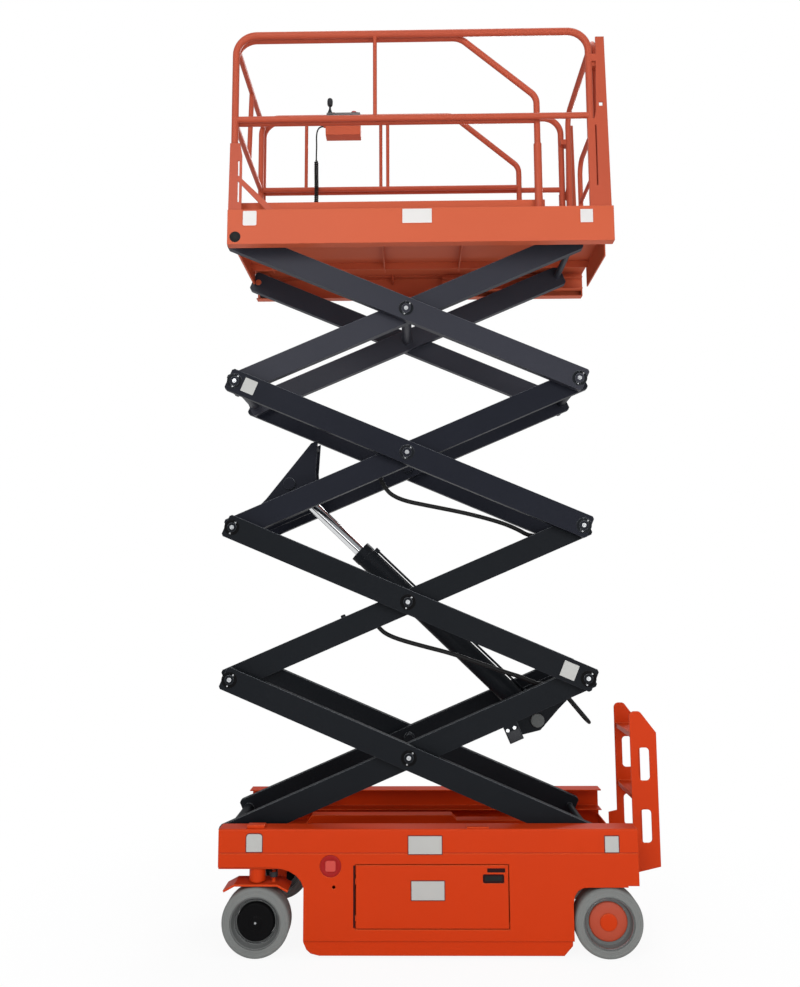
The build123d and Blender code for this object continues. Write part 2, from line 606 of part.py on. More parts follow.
LOOP_ROUTE = [
    loop_point(LOOP_START, LOOP_Y[0]), loop_point(LOOP_REACH, LOOP_Y[0]),
    loop_point(LOOP_REACH, LOOP_Y[1]), loop_point(LOOP_START, LOOP_Y[1]),
]


def inner_arms(stage):
    """The rising pair of one stage, tied by cross tubes, with the cylinder's brackets where it has them."""
    middle = ARM_LENGTH / 2
    top = stage == STAGES - 1
    bosses = [0, middle] if top else [0, middle, ARM_LENGTH]
    pieces = []
    for piece in mirrored(arm_bar(INNER_FACE, bosses)):
        pieces.append(piece)
    tubes = [0] if top else [0, ARM_LENGTH]
    if top:
        tubes.append(middle)
    for x in tubes:
        pieces.append(across(x, 0, CROSS_TUBE_RADIUS, (-INNER_FACE, INNER_FACE)))
    if not top:
        for _, way in SIDES:
            pieces.append(across(middle, 0, BOSS_RADIUS, (way * (INNER_FACE - BOSS_REACH), way * INNER_FACE)))
    if stage == 0:
        ties = [(LOWER_PIN[0], LOWER_PIN[1], EYE_PIN_RADIUS), (ARM_LENGTH - TIE_BACK, -178, 10)]
        pieces += cheeks(LOWER_CHEEK, LOWER_PIN, ties)
        switch_y = (-INNER_ARM_OUT, -INNER_ARM_OUT + 40)
        switch_x = [ARM_LENGTH - back for back in SWITCH_BACK]
        pieces.append(block(switch_x, switch_y, (-HALF_DEPTH - 100, -HALF_DEPTH)))
        for y, wall in zip(LOOP_Y, (-INNER_FACE - 2, -CHEEK_NEAR - 5)):
            hold_x, _, hold_z = loop_point(LOOP_HOLD, y)
            pieces.append(across(hold_x, hold_z, LOOP_RADIUS + 3, sorted((y, wall))))
            pieces.append(round_bar(loop_point(LOOP_HOLD, y), loop_point(LOOP_START, y), LOOP_RADIUS))
    if stage == 2:
        pieces += cheeks(UPPER_CHEEK, UPPER_PIN, [(615, 305, 14)])
    pair = fused(pieces)
    bores = [0, middle] if top else [0, middle, ARM_LENGTH]
    for x in bores:
        pair = pair - across(x, 0, BORE_RADIUS, (-INNER_ARM_OUT - 1, INNER_ARM_OUT + 1))
    if top:
        pair = fused([pair] + rollers(ARM_LENGTH))
    return placed(pair, stage, True)


HOSE_RADIUS = 13.0
TAB_THICKNESS = 7.0
STUB_END = INNER_FACE - BOSS_REACH - 2.0      # inner end of the middle bosses' running gap
# where each stage's hose lies across the machine, so that the folded hoses and arms pass each other
HOSE_Y = {1: -215.0, 2: -181.0}
STRAP_THICKNESS = 6.1
STRAP_FIT = 0.4


def outer_arms(stage):
    """The falling pair of one stage, with the pins that join it to the inner arms."""
    middle = ARM_LENGTH / 2
    top = stage == STAGES - 1
    pieces = mirrored(arm_bar(OUTER_ARM_IN, [0, middle, ARM_LENGTH]))
    if top:
        bored = []
        for piece in pieces:
            bored.append(piece - across(0, 0, BORE_RADIUS, (-OUTER_ARM_OUT - 1, OUTER_ARM_OUT + 1)))
        pieces = bored
    head = OUTER_ARM_OUT + HEAD_THICKNESS
    axles = [] if top else [0]
    if stage > 0:
        axles.append(ARM_LENGTH)
    if top:
        axles.append(middle)
    for x in axles:
        pieces.append(across(x, 0, PIN_RADIUS, (-OUTER_ARM_OUT, OUTER_ARM_OUT)))
    heads = axles if top else axles + [middle]
    for x in heads:
        for _, way in SIDES:
            pieces.append(across(x, 0, HEAD_RADIUS, (way * OUTER_ARM_OUT, way * head)))
    if not top:
        stub_in = STUB_END - TAB_THICKNESS
        for _, way in SIDES:
            pieces.append(across(middle, 0, PIN_RADIUS, (way * stub_in, way * OUTER_ARM_OUT)))
            pieces.append(across(middle, 0, HEAD_RADIUS, (way * stub_in, way * STUB_END)))
    if stage in HOSE_Y:
        pieces.append(across(middle, 0, PIN_RADIUS, (-STUB_END + 1, HOSE_Y[stage] + TAB_THICKNESS / 2)))
        pieces.append(hose_tab(stage, middle))
    if stage == 0:
        pieces += rollers(ARM_LENGTH)
    pair = fused(pieces)
    return placed(pair, stage, False)


def strap_reach(turn, reach):
    """A point (along, across) on a line out of the outer arms' last pin, turned from the arm towards below."""
    return (ARM_LENGTH - reach * cos(radians(turn)), -reach * sin(radians(turn)))


SPIGOT_END = 60.0         # from the pin to where a strap's spigot meets its hose
# routes of the two hoses below the outer arms, along and across the arm; their last run points at the pin
HOSE_RUNS = {
    # back from the arms' last pin, across the arms
    2: [(1216, -176), (1160, -236), (1050, -258), (868, -222), (650, -177), (450, -149), (335, -147), (242, -160)],
    1: [(1265, -172), (1205, -217), (1112, -230), (930, -207), (760, -180), (590, -168), (430, -158),
        (320, -146), (215, -150)],
}
STRAP_TURN = 38.0         # of the hoses' last run, from the arm towards below
SPIGOT_LEAD = 95.0        # length of a hose's straight run before its spigot
HOSE_ROUTES = {}
for stage, runs in HOSE_RUNS.items():
    HOSE_ROUTES[stage] = [(ARM_LENGTH - back, rise) for back, rise in runs]
    HOSE_ROUTES[stage].append(strap_reach(STRAP_TURN, SPIGOT_END + SPIGOT_LEAD))
    HOSE_ROUTES[stage].append(strap_reach(STRAP_TURN, SPIGOT_END))


def hose_tab(stage, middle):
    """A flat tab from the middle pin's inner end, with the spigot on which the stage's hose starts."""
    start, second = HOSE_ROUTES[stage][:2]
    run = hypot(second[0] - start[0], second[1] - start[1])
    back = (start[0] - (second[0] - start[0]) * 22 / run, start[1] - (second[1] - start[1]) * 22 / run)
    hose_y = HOSE_Y[stage]
    y = (hose_y - TAB_THICKNESS / 2, hose_y + TAB_THICKNESS / 2)
    spigot = round_bar((back[0], hose_y, back[1]), (start[0], hose_y, start[1]), HOSE_RADIUS)
    x, z = back
    reach = hypot(x - middle, z)
    side_x, side_z = -z / reach * 13, (x - middle) / reach * 13
    outline = [
        (middle + side_x, side_z), (x + side_x, z + side_z), (x - side_x, z - side_z), (middle - side_x, -side_z),
    ]
    return fused([side_plate(outline, y), spigot])


for stage in range(STAGES):
    save(f"inner_arms_{stage + 1}", inner_arms(stage))
    save(f"outer_arms_{stage + 1}", outer_arms(stage))


# ------------------------------------------------------------------ hoses between the stages
def bend_radii(points):
    """The largest arc that fits each corner of a cord's route."""
    radii = []
    for before, corner, after in zip(points, points[1:], points[2:]):
        first = Vector(*corner) - Vector(*before)
        second = Vector(*after) - Vector(*corner)
        turn = radians(first.get_angle(second))
        radii.append(0.45 * min(first.length, second.length) / tan(turn / 2))
    return radii


def cord(name, points, radius):
    """A cord's solid along its route; prints its length, its tightest bend and a check of its volume."""
    radii = bend_radii(points)
    path = FilletPolyline(*points, radius=radii)
    solid = along(path, radius)
    share = solid.volume / (pi * radius ** 2 * path.length)
    print(f"{name}: length {path.length:.0f}, tightest bend {min(radii):.0f}, volume share {share:.4f}")
    return solid


for stage, route in HOSE_ROUTES.items():
    hose_y = HOSE_Y[stage]
    points = [(x, hose_y, z) for x, z in route]
    hose = cord(f"hose {stage + 1}", points, HOSE_RADIUS)
    ring_y = (hose_y - HOSE_RADIUS, hose_y + HOSE_RADIUS)
    bore = CROSS_TUBE_RADIUS + STRAP_FIT
    strap = across(ARM_LENGTH, 0, bore + STRAP_THICKNESS, ring_y, bore)
    root = strap_reach(STRAP_TURN, bore + STRAP_THICKNESS / 2)
    strap = fused([strap, round_bar((root[0], hose_y, root[1]), points[-1], HOSE_RADIUS)])
    strap = strap - across(ARM_LENGTH, 0, bore, ring_y)
    save(f"hose_{stage + 1}", placed(hose, stage, False))
    save(f"hose_strap_{stage + 1}", placed(strap, stage, False))

save("hose_loop", placed(cord("hose loop", LOOP_ROUTE, LOOP_RADIUS), 0, True))


# ------------------------------------------------------------------ lift cylinder
def on_arm(stage, spot):
    """The place (x, z) of a point given along and across the rising arms of a stage."""
    x = PIVOT_X + spot[0] * cos(THETA) - spot[1] * sin(THETA)
    z = PIVOT_Z + stage * STEP + spot[0] * sin(THETA) + spot[1] * cos(THETA)
    return x, z


LOWER_AT = on_arm(0, LOWER_PIN)
UPPER_AT = on_arm(2, UPPER_PIN)
CYLINDER_LENGTH = hypot(UPPER_AT[0] - LOWER_AT[0], UPPER_AT[1] - LOWER_AT[1])
CYLINDER_TURN = -degrees(atan2(UPPER_AT[1] - LOWER_AT[1], UPPER_AT[0] - LOWER_AT[0]))
print(f"cylinder: {CYLINDER_LENGTH:.1f} long, turned {CYLINDER_TURN:.2f}, lower {LOWER_AT}, upper {UPPER_AT}")
CYLINDER_PLACE = Pos(LOWER_AT[0], 0, LOWER_AT[1]) * Rot(0, CYLINDER_TURN, 0)
TAIL = 95.0
PORT_LENGTH = 30.0         # of the blocks at the oil pipe's ends


def barrel():
    """The cylinder's barrel with its tail eye, gland and the oil pipe along it."""
    tube = round_bar((40, 0, 0), (BARREL_LENGTH, 0, 0), BARREL_RADIUS)
    eye = across(0, 0, EYE_RADIUS + 8, (-EYE_HALF_WIDTH, EYE_HALF_WIDTH))
    gland = round_bar((BARREL_LENGTH - GLAND_LENGTH, 0, 0), (BARREL_LENGTH, 0, 0), GLAND_RADIUS)
    pipe_z = -BARREL_RADIUS - 11.0
    port_x = (130.0, BARREL_LENGTH - GLAND_LENGTH - PORT_LENGTH - 6)
    pipe = round_bar((port_x[0] + 20, 0, pipe_z), (port_x[1] + 10, 0, pipe_z), 7.0)
    port_z = (pipe_z - 12, -BARREL_RADIUS + 8)
    ports = [block((x, x + PORT_LENGTH), (-14, 14), port_z) for x in port_x]
    body = fused([tube, eye, gland, pipe] + ports)
    body = body - round_bar((TAIL, 0, 0), (BARREL_LENGTH - GLAND_LENGTH, 0, 0), BARREL_BORE)
    body = body - round_bar((TAIL, 0, 0), (BARREL_LENGTH + 1, 0, 0), ROD_RADIUS + PIN_FIT)
    return body - across(0, 0, EYE_PIN_RADIUS + PIN_FIT, (-EYE_HALF_WIDTH - 1, EYE_HALF_WIDTH + 1))


def rod():
    """The chromed rod with its piston and its upper eye."""
    start = CYLINDER_LENGTH - ROD_LENGTH
    bar = round_bar((start, 0, 0), (CYLINDER_LENGTH - 20, 0, 0), ROD_RADIUS)
    piston = round_bar((start, 0, 0), (start + PISTON_LENGTH, 0, 0), BARREL_BORE - PIN_FIT)
    eye = across(CYLINDER_LENGTH, 0, EYE_RADIUS, (-EYE_HALF_WIDTH, EYE_HALF_WIDTH))
    shape = fused([bar, piston, eye])
    return shape - across(CYLINDER_LENGTH, 0, EYE_PIN_RADIUS, (-EYE_HALF_WIDTH - 1, EYE_HALF_WIDTH + 1))


save("cylinder_barrel", CYLINDER_PLACE * barrel())
save("cylinder_rod", CYLINDER_PLACE * rod())

# ------------------------------------------------------------------ platform
TRACK_LEFT = MID_X + 150.0
TRACK_PLATE = 6.0
SIDE_BOTTOM = TOP_PIN_Z - SIDE_DROP
SIDE_TOP = TOP_PIN_Z + SIDE_RISE
SIDE_HOLE_AT = (MID_X - 1106.0, TOP_PIN_Z - 33.0)
SIDE_HOLE_RADIUS = 33.0
RIBS_X = (MID_X - 1000.0, MID_X - 250.0, MID_X + 250.0, MID_X + 750.0)


END_BEAM = 8.0
# notches in the entry end's beam, into which the arms' ends and rollers come when folded
ROLLER_NOTCH = (INNER_FACE - 10.0, HALF_WIDTH - CHASSIS_PLATE - 54.0)


def platform_side(way):
    """One side plate with its lips, roller track, outriggers and the ear at the fixed pin."""
    web = HALF_WIDTH - CHASSIS_PLATE
    length = (PLATFORM_LEFT, PLATFORM_RIGHT)
    inside = (PLATFORM_LEFT, PLATFORM_RIGHT - END_BEAM)
    side = block(length, (way * web, way * HALF_WIDTH), (SIDE_BOTTOM, SIDE_TOP))
    hole = (way * (web - 1), way * (HALF_WIDTH + 1))
    pieces = [side - across(SIDE_HOLE_AT[0], SIDE_HOLE_AT[1], SIDE_HOLE_RADIUS, hole)]
    lip = (way * (web - 54), way * web)
    pieces.append(block(inside, lip, (SIDE_BOTTOM, SIDE_BOTTOM + CHASSIS_PLATE)))
    pieces.append(block(inside, lip, (FLOOR_UNDER - CHASSIS_PLATE, FLOOR_UNDER)))
    low = TOP_PIN_Z - ROLLER_RADIUS - ROLLER_GAP
    high = TOP_PIN_Z + ROLLER_RADIUS + ROLLER_GAP
    flange = (way * FLANGE_EDGE, way * (web - 54))
    track = (TRACK_LEFT, PLATFORM_RIGHT - END_BEAM)
    pieces.append(block(track, flange, (low - TRACK_PLATE, low)))
    pieces.append(block(track, flange, (high, high + TRACK_PLATE)))
    pieces.append(block(track, (way * (web - 60), way * (web - 54)), (low - TRACK_PLATE, FLOOR_UNDER)))
    ear_in = way * (OUTER_ARM_OUT + ARM_GAP)
    ear = [
        (PIVOT_X - 30, FLOOR_UNDER), (PIVOT_X - 30, TOP_PIN_Z - 25), (PIVOT_X - 15, TOP_PIN_Z - 40),
        (PIVOT_X + 15, TOP_PIN_Z - 40), (PIVOT_X + 40, TOP_PIN_Z - 20), (PIVOT_X + 75, FLOOR_UNDER),
    ]
    pieces.append(side_plate(ear, (ear_in, ear_in + way * EAR_THICKNESS)))
    shelf = (FLOOR_UNDER - CHASSIS_PLATE, FLOOR_UNDER)
    pieces.append(block((PIVOT_X - 30, PIVOT_X + 75), (ear_in, way * web), shelf))
    pin = (way * (OUTER_ARM_IN - 3), ear_in + way * (EAR_THICKNESS + HEAD_THICKNESS))
    pieces.append(across(PIVOT_X, TOP_PIN_Z, PIN_RADIUS, pin))
    for x in (MID_X - 700, MID_X - 200):
        pieces.append(block((x, x + 8), (way * (FLANGE_EDGE + 30), way * web), (FLOOR_UNDER - 45, FLOOR_UNDER)))
    return fused(pieces)


def platform_underframe():
    """Stringers and ribs under the floor, and the beams at both ends."""
    web = HALF_WIDTH - CHASSIS_PLATE
    entry_x = (PLATFORM_RIGHT - END_BEAM, PLATFORM_RIGHT)
    entry_beam = block(entry_x, (-web, web), (SIDE_BOTTOM, FLOOR_TOP + 12))
    for _, way in SIDES:
        notch = (way * ROLLER_NOTCH[0], way * ROLLER_NOTCH[1])
        wider = (entry_x[0] - 1, entry_x[1] + 1)
        entry_beam = entry_beam - block(wider, notch, (SIDE_BOTTOM - 1, TOP_PIN_Z + HALF_DEPTH + 9))
    end_y = (-INNER_ARM_OUT, INNER_ARM_OUT)
    steered_beam = block((PLATFORM_LEFT, PLATFORM_LEFT + 12), end_y, (FLOOR_UNDER - 95, FLOOR_UNDER))
    pieces = [entry_beam, steered_beam]
    for _, way in SIDES:
        stringer = (way * 200, way * 206)
        pieces.append(block((PLATFORM_LEFT + 12, entry_x[0]), stringer, (FLOOR_UNDER - 45, FLOOR_UNDER)))
    for x in RIBS_X:
        pieces.append(block((x, x + 8), (-INNER_FACE + 12, INNER_FACE - 12), (FLOOR_UNDER - 45, FLOOR_UNDER)))
    return fused(pieces)


FLOOR_EDGE = HALF_WIDTH - CHASSIS_PLATE
save("platform_sides", *[platform_side(way) for _, way in SIDES])
save("platform_underframe", platform_underframe())
FLOOR_X = (PLATFORM_LEFT, PLATFORM_RIGHT - END_BEAM)
save("platform_floor", block(FLOOR_X, (-FLOOR_EDGE, FLOOR_EDGE), (FLOOR_UNDER, FLOOR_TOP)))

# ------------------------------------------------------------------ fixed guardrails
RAIL_LEFT = MID_X - 1123.0
RAIL_RIGHT = MID_X + 1012.0
END_POST = (MID_X + 1046.0, MID_X + 1104.0)
END_BAR_X = MID_X + 1056.0
END_BAR_Y = 424.0
STRAP = 8.0
POST_RADIUS = 12.0
GATE_HINGE_Y = -378.0
GATE_X = END_BAR_X
GATE_END_Y = 70.0
GATE_RADIUS = 16.0
GATE_TOP = MID_RAIL_Z - 20.0
GATE_BOTTOM = FLOOR_TOP + 70.0


def main_rail(way):
    """The fixed rails of one side, with the plates that stiffen their posts."""
    plate = HALF_WIDTH - CHASSIS_PLATE
    y = way * RAIL_Y
    outline = [
        (RAIL_LEFT, y, FLOOR_TOP), (RAIL_LEFT, y, TOP_RAIL_Z), (RAIL_RIGHT, y, TOP_RAIL_Z),
        (RAIL_RIGHT, y, FLOOR_TOP),
    ]
    pieces = [bent_tube(outline, [RAIL_BEND, RAIL_BEND], RAIL_RADIUS)]
    pieces.append(round_bar((RAIL_LEFT, y, MID_RAIL_Z), (RAIL_RIGHT, y, MID_RAIL_Z), RAIL_RADIUS - 3))
    post_x = MID_X - 279.0
    pieces.append(round_bar((post_x, y, MID_RAIL_Z), (post_x, y, TOP_RAIL_Z), POST_RADIUS))
    strap_y = (way * (plate - STRAP), way * plate)
    right = [
        (RAIL_RIGHT - 21, FLOOR_TOP), (END_POST[1] + 14, FLOOR_TOP), (END_POST[1], TOP_RAIL_Z - 50),
        (END_POST[0] + 6, TOP_RAIL_Z - 50), (END_POST[0] + 6, TOP_RAIL_Z - 160),
        (RAIL_RIGHT, TOP_RAIL_Z - 160), (RAIL_RIGHT, TOP_RAIL_Z - 206), (END_POST[0] + 4, TOP_RAIL_Z - 206),
        (END_POST[0] - 2, MID_RAIL_Z + 20), (END_POST[0] - 14, MID_RAIL_Z - 30),
        (RAIL_RIGHT - 21, MID_RAIL_Z - 30),
    ]
    gusset = side_plate(right, strap_y)
    wide = (way * (plate - STRAP - 1), way * (plate + 1))
    gusset = gusset - slot_cut(MID_X + 1039, MID_RAIL_Z - 260, 4.5, 190, wide)
    gusset = gusset - block((MID_X + 1062, MID_X + 1084), wide, (MID_RAIL_Z + 48, MID_RAIL_Z + 72))
    pieces.append(gusset)
    left = [
        (MID_X - 1152, FLOOR_TOP), (MID_X - 1146, MID_RAIL_Z - 160), (MID_X - 1086, MID_RAIL_Z - 160),
        (MID_X - 1072, MID_RAIL_Z - 240), (MID_X - 1072, FLOOR_TOP),
    ]
    pieces.append(side_plate(left, strap_y) - slot_cut(MID_X - 1092, MID_RAIL_Z - 400, 4.5, 130, wide))
    brace = [
        (MID_X - 1110, TOP_PIN_Z + 330), (MID_X - 1092, TOP_PIN_Z + 350), (MID_X - 868, TOP_PIN_Z + 128),
        (MID_X - 905, TOP_PIN_Z + 110),
    ]
    pieces.append(side_plate(brace, strap_y))
    return fused(pieces)


def entry_frame():
    """The hoop over the entry, clamped to the last posts, with the lugs of the gate's hinge."""
    hoop_top = TOP_RAIL_Z - 12
    hoop = [
        (END_BAR_X, -END_BAR_Y, FLOOR_TOP), (END_BAR_X, -END_BAR_Y, hoop_top), (END_BAR_X, END_BAR_Y, hoop_top),
        (END_BAR_X, END_BAR_Y, FLOOR_TOP),
    ]
    pieces = [bent_tube(hoop, [90.0, 90.0], INNER_RAIL_RADIUS)]
    for _, way in SIDES:
        foot = (RAIL_RIGHT, way * RAIL_Y, FLOOR_TOP)
        head = (RAIL_RIGHT, way * RAIL_Y, TOP_RAIL_Z - RAIL_BEND)
        post = round_bar(foot, head, RAIL_RADIUS)
        for z in (MID_RAIL_Z + 330, FLOOR_TOP + 60):
            y = (way * (END_BAR_Y - 8), way * (RAIL_Y + 8))
            pieces.append(block((RAIL_RIGHT - 10, END_BAR_X + 12), y, (z - 18, z + 18)) - post)
    frame = fused(pieces)
    for low in (GATE_BOTTOM - 30, GATE_TOP + 18):
        lug = block((GATE_X - 20, GATE_X + 20), (-END_BAR_Y, GATE_HINGE_Y + 20), (low, low + 12))
        hole = round_bar((GATE_X, GATE_HINGE_Y, low - 1), (GATE_X, GATE_HINGE_Y, low + 13), GATE_RADIUS + PIN_FIT)
        frame = fused([frame, lug - hole])
    return frame


# ------------------------------------------------------------------ entry gate


def entry_gate():
    """A bent tube gate that swings in from the near end post."""
    loop = [
        (GATE_X, GATE_HINGE_Y, GATE_TOP), (GATE_X, GATE_END_Y, GATE_TOP), (GATE_X, GATE_END_Y, GATE_BOTTOM),
        (GATE_X, GATE_HINGE_Y, GATE_BOTTOM),
    ]
    frame = bent_tube(loop, [90.0, 60.0], GATE_RADIUS)
    post = round_bar((GATE_X, GATE_HINGE_Y, GATE_BOTTOM - 30), (GATE_X, GATE_HINGE_Y, GATE_TOP + 30), GATE_RADIUS)
    middle = (GATE_TOP + GATE_BOTTOM) / 2
    bar = round_bar((GATE_X, GATE_HINGE_Y, middle), (GATE_X, GATE_END_Y, middle), GATE_RADIUS - 4)
    return fused([frame, post, bar])


save("main_rails", *[main_rail(way) for _, way in SIDES])
save("entry_frame", entry_frame())
save("entry_gate", entry_gate())

# ------------------------------------------------------------------ roll-out deck
DECK_LEFT = MID_X - 1155.0
DECK_RIGHT = MID_X + 740.0
DECK_UNDER = FLOOR_TOP + DECK_LIFT
DECK_TOP = DECK_UNDER + FLOOR_PLATE
DECK_HALF = INNER_RAIL_Y + INNER_RAIL_RADIUS
TOE_HEIGHT = 130.0
INNER_LEFT = MID_X - 1131.0
END_RAIL_DROP = 72.0      # of the rail across the outer end, below the top rails
INNER_DIAGONAL = (MID_X + 240.0, MID_X + 700.0, TOP_RAIL_Z - 391.0)
SOCKET_RADIUS = 24.0
SOCKET_TOP = TOP_PIN_Z + 561.0
CORD_Y = 376.0
CORD_FOOT_X = MID_X - 752.0


def extension_deck():
    """The roll-out deck: a plate on slide strips with its own toe boards."""
    plate = block((DECK_LEFT, DECK_RIGHT), (-DECK_HALF, DECK_HALF), (DECK_UNDER, DECK_TOP))
    pieces = [plate]
    for _, way in SIDES:
        strip = (way * (DECK_HALF - 60), way * (DECK_HALF - 25))
        pieces.append(block((DECK_LEFT, DECK_RIGHT), strip, (FLOOR_TOP + SLIDE_GAP, DECK_UNDER)))
        toe_out = INNER_RAIL_Y - SOCKET_RADIUS
        toe = (way * (toe_out - FLOOR_PLATE), way * toe_out)
        pieces.append(block((DECK_LEFT, DECK_RIGHT), toe, (DECK_TOP, DECK_TOP + TOE_HEIGHT)))
    end = (DECK_LEFT, DECK_LEFT + FLOOR_PLATE)
    pieces.append(block(end, (-DECK_HALF, DECK_HALF), (DECK_TOP, DECK_TOP + TOE_HEIGHT)))
    gland = round_bar((CORD_FOOT_X, CORD_Y, DECK_TOP), (CORD_FOOT_X, CORD_Y, DECK_TOP + 30), 20.0)
    return fused(pieces + [gland])


def extension_rail(way):
    """One sloping side rail of the roll-out deck, with its mid rail and sockets."""
    slope_x, foot_x, slope_z = INNER_DIAGONAL
    y = way * INNER_RAIL_Y
    outline = [
        (INNER_LEFT, y, DECK_TOP), (INNER_LEFT, y, TOP_RAIL_Z), (slope_x, y, TOP_RAIL_Z),
        (foot_x, y, slope_z), (foot_x, y, DECK_TOP),
    ]
    pieces = [bent_tube(outline, [RAIL_BEND, 120.0, 90.0], INNER_RAIL_RADIUS)]
    pieces.append(round_bar((INNER_LEFT, y, MID_RAIL_Z), (foot_x, y, MID_RAIL_Z), INNER_RAIL_RADIUS - 2))
    pieces.append(round_bar((foot_x, y, DECK_TOP), (foot_x, y, SOCKET_TOP), SOCKET_RADIUS))
    if way > 0:
        for x in (MID_X - 808, MID_X - 228):
            pieces.append(round_bar((x, y, MID_RAIL_Z), (x, y, TOP_RAIL_Z), POST_RADIUS))
    return fused(pieces)


def extension_end_rails():
    """The rails across the roll-out deck's outer end, coped to its side rails."""
    drop = END_RAIL_DROP
    high_x = INNER_LEFT + RAIL_BEND - sqrt(RAIL_BEND ** 2 - (RAIL_BEND - drop) ** 2)
    pieces = []
    for x, z in ((high_x, TOP_RAIL_Z - drop), (INNER_LEFT, MID_RAIL_Z)):
        pieces.append(round_bar((x, -INNER_RAIL_Y, z), (x, INNER_RAIL_Y, z), INNER_RAIL_RADIUS - 2))
    stay = round_bar((INNER_LEFT, 0, MID_RAIL_Z), (high_x, 0, TOP_RAIL_Z - drop), POST_RADIUS + 4)
    pieces.append(stay)
    return fused(pieces) - [extension_rail(way) for _, way in SIDES]


save("extension_deck", extension_deck())
save("extension_rails", *[extension_rail(way) for _, way in SIDES])
save("extension_end_rails", extension_end_rails())

# ------------------------------------------------------------------ controls
BOX_X = (MID_X - 661.0, MID_X - 416.0)
BOX_Y = (300.0, 404.0)
BOX_Z = (TOP_RAIL_Z - 189.0, TOP_RAIL_Z - 91.0)
PANEL_TOP = BOX_Z[1] + 78.0


def control_box():
    """The sheet-metal housing of the platform controls, hooked over the roll-out deck's rail."""
    outline = [
        (BOX_Y[0] + 22, BOX_Z[0]), (BOX_Y[1], BOX_Z[0]), (BOX_Y[1], BOX_Z[1]), (BOX_Y[0], BOX_Z[1]),
    ]
    housing = cross_plate(outline, BOX_X)
    back = [
        (BOX_Y[1] - 4, BOX_Z[1]), (BOX_Y[1] - 4, TOP_RAIL_Z + 24), (INNER_RAIL_Y + 20, TOP_RAIL_Z + 24),
        (INNER_RAIL_Y + 20, TOP_RAIL_Z + 19.3), (BOX_Y[1], TOP_RAIL_Z + 19.3), (BOX_Y[1], BOX_Z[1]),
    ]
    hooks = [cross_plate(back, (x, x + 30)) for x in (BOX_X[0] + 25, BOX_X[1] - 55)]
    gland = round_bar((BOX_X[0] - 18, CORD_Y - 20, BOX_Z[1] - 18), (BOX_X[0], CORD_Y - 20, BOX_Z[1] - 18), 9.0)
    return fused([housing, gland] + hooks)


def control_panel():
    """The dark upper shell of the controls with its joystick and side switch."""
    outline = [
        (BOX_Y[0], BOX_Z[1]), (BOX_Y[1] - 8, BOX_Z[1]), (BOX_Y[1] - 8, PANEL_TOP), (BOX_Y[0] + 38, PANEL_TOP),
    ]
    shell = cross_plate(outline, (BOX_X[0] + 4, BOX_X[1] - 4))
    stick_at = (BOX_X[0] + 26, BOX_Y[0] + 66)
    stick = round_bar((*stick_at, PANEL_TOP), (*stick_at, PANEL_TOP + 88), 9.0)
    knob = round_bar((*stick_at, PANEL_TOP + 62), (*stick_at, PANEL_TOP + 120), 20.0)
    stub = round_bar(
        (BOX_X[1] - 4, BOX_Y[0] + 50, PANEL_TOP - 30), (BOX_X[1] + 14, BOX_Y[0] + 50, PANEL_TOP - 30), 10.0
    )
    return fused([shell, stick, knob, stub])


save("control_box", control_box())
save("control_panel", control_panel())

CORD_RADIUS = 5.0
COIL_RADIUS = 16.0
CORD_TOP_Z = BOX_Z[1] - 18.0
cord_route = [
    (BOX_X[0] - 18, CORD_Y - 20, CORD_TOP_Z), (MID_X - 703, CORD_Y - 20, CORD_TOP_Z),
    (MID_X - 724, CORD_Y - 16, CORD_TOP_Z - 26), (MID_X - 731, CORD_Y - 8, CORD_TOP_Z - 70),
    (MID_X - 729, CORD_Y - 1, CORD_TOP_Z - 126), (MID_X - 731, CORD_Y, CORD_TOP_Z - 186),
    (MID_X - 731, CORD_Y, CORD_TOP_Z - 236),
]
coil_route = [
    cord_route[-1], (MID_X - 731, CORD_Y, CORD_TOP_Z - 330), (MID_X - 728, CORD_Y + 2, CORD_TOP_Z - 470),
    (MID_X - 733, CORD_Y + 1, CORD_TOP_Z - 640), (MID_X - 742, CORD_Y - 1, CORD_TOP_Z - 800),
    (CORD_FOOT_X, CORD_Y, DECK_TOP + 120), (CORD_FOOT_X, CORD_Y, DECK_TOP + 30),
]
save("controller_cord", cord("controller cord", cord_route, CORD_RADIUS))
save("controller_coil", cord("controller coil", coil_route, COIL_RADIUS))
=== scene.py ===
# %% [markdown]
# # A scissor lift, dressed for a studio picture
#
# The solids of the machine come from the CAD model, already in the right place. This file gives
# them paint, rubber and steel, adds the small parts that a CAD model leaves out, and lights them.
# It is meant to be read from top to bottom: each step says what the real thing is, how it is made
# in Blender, and why this way was taken.

# %% Load the frame
import json
import math

import bmesh
import bpy
from mathutils import Matrix, Vector


